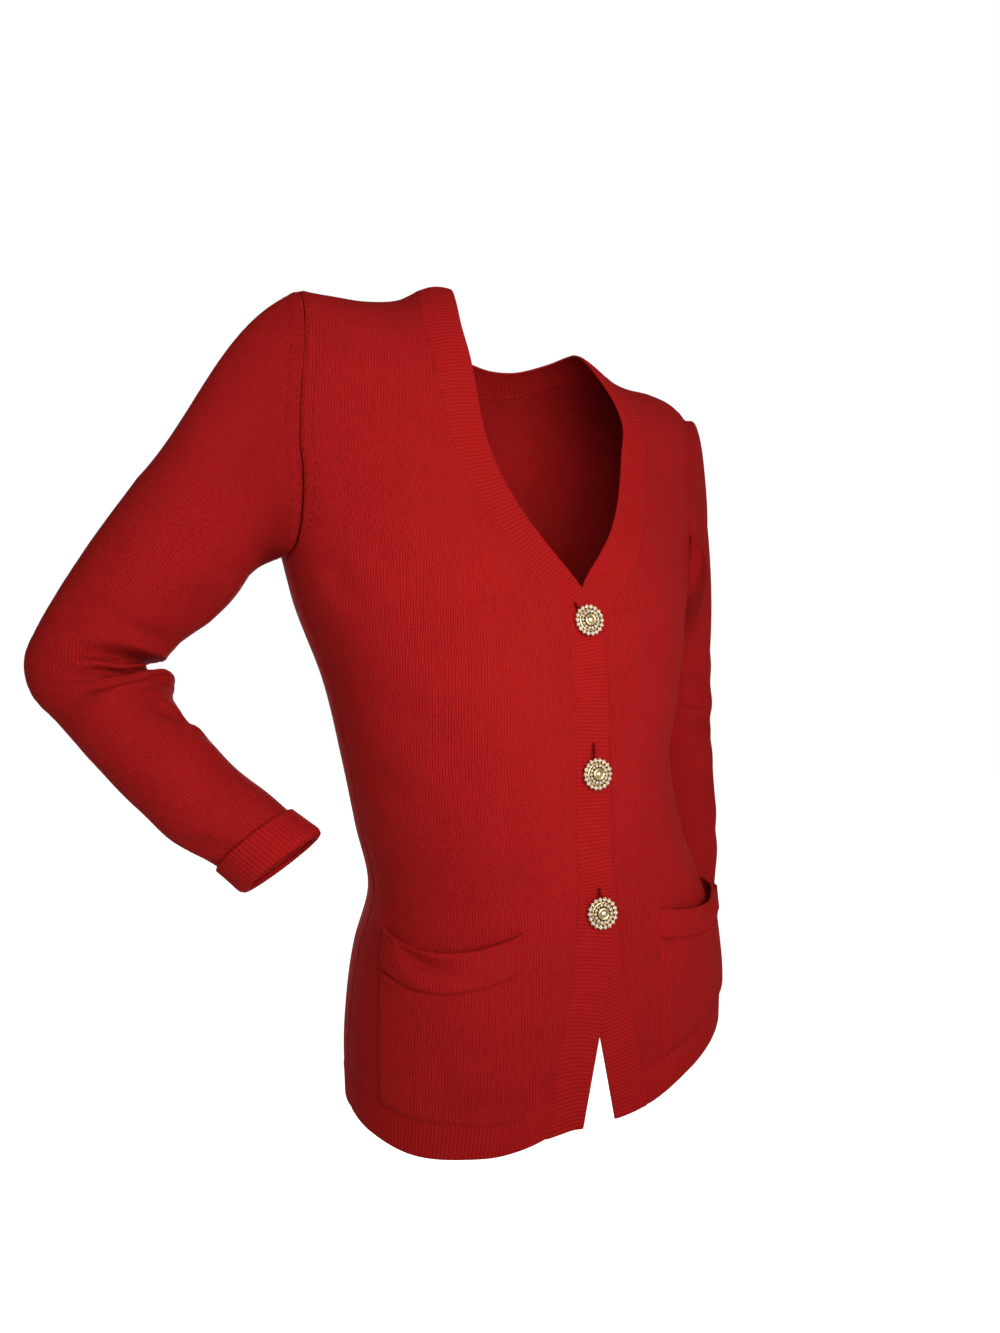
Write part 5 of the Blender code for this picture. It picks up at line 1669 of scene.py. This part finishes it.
def pocket_grid(side):
    """Points of a patch pocket, made from the front moved out."""
    height, width = POCKET_TOP_INNER - POCKET_BOTTOM, POCKET_OUTER - POCKET_INNER
    up = (even_ways(height, int(height / POCKET_ROW)) / height)[:, None]
    across = (even_ways(width, int(width / POCKET_COLUMN)) / width)[None, :]
    middle = np.sin(math.pi * across)
    mouth = (POCKET_TOP_INNER + (POCKET_TOP_OUTER - POCKET_TOP_INNER) * across
             - POCKET_SAG * middle)
    level = POCKET_BOTTOM + (mouth - POCKET_BOTTOM) * up
    run = run_at(level, 1)
    distance = POCKET_INNER + width * across + 0 * level
    out, placket = EDGE(np.array(run_at(POCKET_TOP_INNER, 1)))
    start = angle_at(SIDES[side] * (out + BAND_WIDTH) + placket, run)[..., None]
    angles = start + (SIDE_ANGLES[side] - start) * np.linspace(0, 1, 61)
    lengths = lengths_along(form_point(angles, run[..., None]), axis=2)
    angle = np.empty_like(run)
    for index in np.ndindex(run.shape):
        angle[index] = np.interp(distance[index], lengths[index], angles[index])
    from_mouth = mouth - level
    turned = ease((POCKET_TURN + 0.0008 - from_mouth) / 0.0016)
    side_way = np.minimum(across, 1 - across) * width
    seam_way = np.minimum(side_way, up * height)
    rolled, place, reach = MOUTH_ROLL
    mouth_roll = (rolled * hump(from_mouth, place, reach)
                  - MOUTH_DIP * (1 - ease(from_mouth / 0.0014)))
    lift = (POCKET_REST + cloth().wall + POCKET_SEWN * (1 - ease(seam_way / POCKET_SEWN_REACH))
            + POCKET_GROOVE * hump(from_mouth, POCKET_TURN + 0.0012, 0.0012) + mouth_roll
            + POCKET_GAPE[side] * middle * ease((up - 0.25) / 0.85) ** 1.5
            + POCKET_TOP_RISE * turned * ease(side_way / 0.004))
    points = body_surface(f"pocket_{side}", side, 1, angle, run, lift)
    return points, knit_chart(angle, run), form_normal(angle, run)


def pocket_border(rows):
    """Down one side of a pocket's grid, along its foot and up the other, at its seam."""
    return np.concatenate([rows[::-1, 3], rows[3, 4:-4], rows[3:, -4]])


class CARDIGAN_OT_pockets(bpy.types.Operator):
    """Makes the two patch pockets with their turned tops"""

    bl_idname = "cardigan.pockets"
    bl_label = "Pockets"

    def execute(self, context):
        for side in SIDES:
            name = f"pocket_{side}"
            points, chart, normals = pocket_grid(side)
            piece = make_cloth(name, grid_mesh(name, [(points, chart, {})]), thickness=POCKET_WALL)
            line = line_frame(pocket_border(points), pocket_border(normals))
            sewing = stitches(f"stitches_{name}", [line], settings("stitch").spacing,
                              POCKET_STITCH_SIZE, 11)
        return {"FINISHED"}


# ---------------------------------------------------------------- buttons
# Turned outline of a button, from the middle of its boss to its back.
BUTTON_OUTLINE = np.array((
    (0.0000, 0.0063), (0.0010, 0.0062), (0.0019, 0.0059), (0.0026, 0.0054),
    (0.0031, 0.0048), (0.0034, 0.0045), (0.0036, 0.0047), (0.0039, 0.0050),
    (0.0042, 0.0047), (0.0044, 0.0037), (0.0050, 0.0031), (0.0073, 0.0029),
    (0.0078, 0.0031), (0.0081, 0.0029), (0.0084, 0.0021), (0.0092, 0.0017),
    (0.0103, 0.0015), (0.0106, 0.0014), (0.0109, 0.0011), (0.0110, 0.0007),
    (0.0106, 0.0003), (0.0085, 0.0000), (0.0010, 0.0000), (0.0010, -0.0034),
    (0.0000, -0.0034),
))
BUTTON_TURNS = 48             # facets round a button
SHADE_PAINTED_RINGS = ((0.0046, 0.0074), (0.0084, 0.0108))    # painted shade under each circle of stones, in the gaps between them
SHADE_PAINTED_ABOVE = 0.0010
RINGS = (("rim", "outer", 0.0101, 0.0026), ("inner", "inner", 0.0062, 0.0038))


def button_seat(index):
    """Matrix of a button's seat on the right band: +Z outward and +Y up the band."""
    run = np.array(run_at(BUTTON_HEIGHTS[index], 1))
    angle = angle_at(EDGE(run)[1], run)
    normal = form_normal(angle, run)
    point = form_point(angle, run) + normal * (front_lift("right", angle, run) + BUTTON_REST)
    outward = Matrix.Rotation(math.radians(BUTTON_TURN), 3, "Z") @ Vector(normal)
    across = Vector((0.0, 0.0, 1.0)).cross(outward).normalized()
    upward = outward.cross(across)
    aside, up = BUTTON_SHIFTS[index]
    point = Vector(point) + across * aside + upward * up
    turned = Matrix((across, upward, outward)).transposed().to_4x4()
    return Matrix.Translation(point) @ turned


def button_mesh(name):
    """A button's metal about the origin; its second material paints shade in the rings under the
    stones.
    """
    turns = np.linspace(0, 2 * math.pi, BUTTON_TURNS + 1)
    radius, height = BUTTON_OUTLINE[:, :1], BUTTON_OUTLINE[:, 1:]
    points = np.stack([radius * np.cos(turns), radius * np.sin(turns), height + 0 * turns], -1)
    mesh = grid_mesh(name, [(points, points[..., :2], {})], closed=True, merge=True)
    for polygon in mesh.polygons:
        way = polygon.center.to_2d().length
        dark = any(low < way < high for low, high in SHADE_PAINTED_RINGS)
        # Painted shade: faces of the rings under the stones take the near-black brass.
        polygon.material_index = int(dark and polygon.center.z > SHADE_PAINTED_ABOVE)
    return mesh


class CARDIGAN_OT_buttons(bpy.types.Operator):
    """Makes the gilt buttons with two rings of cut stones and a plain boss"""

    bl_idname = "cardigan.buttons"
    bl_label = "Jewelled buttons"

    def execute(self, context):
        jewel = settings("button")
        for index in range(len(BUTTON_HEIGHTS)):
            name = f"button_{index + 1}"
            seat = button_seat(index)
            mesh = button_mesh(name)
            mesh.transform(seat)
            metal = add_object(f"gilt_{name}", mesh, ["gilt_cast_brass", "brass_painted_shade"])
            hand_over(metal, [name])
            for label, key, radius, height in RINGS:
                stones = add_object(f"{label}_stones_{name}",
                                    bpy.data.meshes.new(f"{label}_stones"))
                add_nodes(stones, ring_of_stones, {
                    "Count": getattr(jewel, key + "_count"), "Ring Radius": radius,
                    "Stone Width": getattr(jewel, key + "_size"), "Seat": height,
                    "Finish": finish("foil_backed_crystal"), "Setting": finish("gilt_cast_brass")})
                baked(stones).data.transform(seat)
                hand_over(stones, ())
        return {"FINISHED"}


# ---------------------------------------------------------------- stage
WHITE = (1.0, 1.0, 1.0, 1.0)
FLOOR_SIZE = 9.0
CAMERA_PLACE = (-0.4466, -0.6877, -0.30)
CAMERA_YAW = 31.8             # from +Y towards +X, degrees
CAMERA_PITCH = 1.0
CAMERA_LENS = 26.6
SENSOR_WIDTH = 36.0
LIGHTS = (                    # name, place, size and share of the near lights' power
    ("near_softbox_right", (-0.50, -0.90, -0.12), 0.6, 0.65),
    ("near_softbox_left", (-0.10, -0.95, -0.15), 0.6, 1.00),
    ("back_softbox", (0.50, 2.20, -0.10), 1.6, 8.00),
)
LIGHTS_AIM = Vector((-0.04, -0.08, -0.21))
SOFTBOX_SPREAD = math.radians(100)
BACKDROP_SIDE = (0.527, 0.850, 0.0)    # the surround is brightest in this direction
BACKDROP_EDGE = (0.60, 0.76)           # cosines where its brightness starts and ends


def set_in_scene(name, data, place, turn):
    """An object of a light or a camera, at this place and turn."""
    holder = bpy.data.objects.new(name, data)
    holder.location = place
    holder.rotation_euler = turn
    bpy.context.scene.collection.objects.link(holder)
    return holder


class CARDIGAN_OT_stage(bpy.types.Operator):
    """Makes the pale floor, the soft lights and the camera"""

    bl_idname = "cardigan.stage"
    bl_label = "Stage"

    def execute(self, context):
        light_table = settings("stage")
        mesh = bpy.data.meshes.new("floor")
        form = bmesh.new()
        bmesh.ops.create_grid(form, x_segments=2, y_segments=2, size=FLOOR_SIZE)
        bmesh.ops.translate(form, vec=(0.0, 0.0, light_table.floor), verts=form.verts)
        form.to_mesh(mesh)
        form.free()
        add_object("floor", mesh, ["light_table_acrylic"])
        world = bpy.data.worlds.new("white_surround")
        world.use_nodes = True
        add = Nodes(world.node_tree)
        sky = world.node_tree.nodes["Background"].inputs
        sky["Color"].default_value = WHITE
        side = add.vector("DOT_PRODUCT", add.place("Generated"), BACKDROP_SIDE, output="Value")
        glow = add.ranged(side, light_table.sky, light_table.backdrop, *BACKDROP_EDGE, "SMOOTHSTEP")
        world.node_tree.links.new(glow, sky["Strength"])
        context.scene.world = world
        context.scene.view_settings.view_transform = "Standard"
        for name, place, size, share in LIGHTS:
            light = bpy.data.lights.new(name, "AREA")
            light.shape = "DISK"
            light.size = size
            light.energy = light_table.key * share
            light.spread = SOFTBOX_SPREAD
            aim = (LIGHTS_AIM - Vector(place)).to_track_quat("-Z", "Y")
            set_in_scene(name, light, place, aim.to_euler())
        lens = bpy.data.cameras.new("camera")
        lens.sensor_fit = "AUTO"
        lens.sensor_width = SENSOR_WIDTH
        lens.lens = CAMERA_LENS
        lens.clip_start = 0.01
        turn = (math.radians(90 + CAMERA_PITCH), 0.0, -math.radians(CAMERA_YAW))
        context.scene.camera = set_in_scene("camera", lens, CAMERA_PLACE, turn)
        return {"FINISHED"}


# ---------------------------------------------------------------- panel
GROUPS = (("cloth", ClothSettings), ("rib", RibSettings), ("stitch", StitchSettings),
          ("button", ButtonSettings), ("stage", StageSettings))
OPERATORS = (CARDIGAN_OT_fronts, CARDIGAN_OT_back, CARDIGAN_OT_hem, CARDIGAN_OT_bands,
             CARDIGAN_OT_sleeves, CARDIGAN_OT_cuffs, CARDIGAN_OT_pockets,
             CARDIGAN_OT_buttons, CARDIGAN_OT_stage)


class CARDIGAN_PT_panel(bpy.types.Panel):
    """Lists the cardigan's sizes and pieces"""

    bl_label = "Button cardigan"
    bl_space_type = "VIEW_3D"
    bl_region_type = "UI"
    bl_category = "Cardigan"

    def draw(self, context):
        for name, group in GROUPS:
            box = self.layout.box()
            for key in group.__annotations__:
                box.prop(settings(name), key)
        for operator in OPERATORS:
            self.layout.operator(operator.bl_idname)


def register():
    for name, group in GROUPS:
        bpy.utils.register_class(group)
        setattr(bpy.types.Scene, "cardigan_" + name, PointerProperty(type=group))
    for each in OPERATORS + (CARDIGAN_PT_panel,):
        bpy.utils.register_class(each)


def unregister():
    for each in (CARDIGAN_PT_panel,) + OPERATORS[::-1]:
        bpy.utils.unregister_class(each)
    for name, group in GROUPS[::-1]:
        delattr(bpy.types.Scene, "cardigan_" + name)
        bpy.utils.unregister_class(group)


def main():
    """Makes every piece in order."""
    register()
    for operator in OPERATORS:
        area, name = operator.bl_idname.split(".")
        getattr(getattr(bpy.ops, area), name)()


if __name__ == "__main__":
    main()
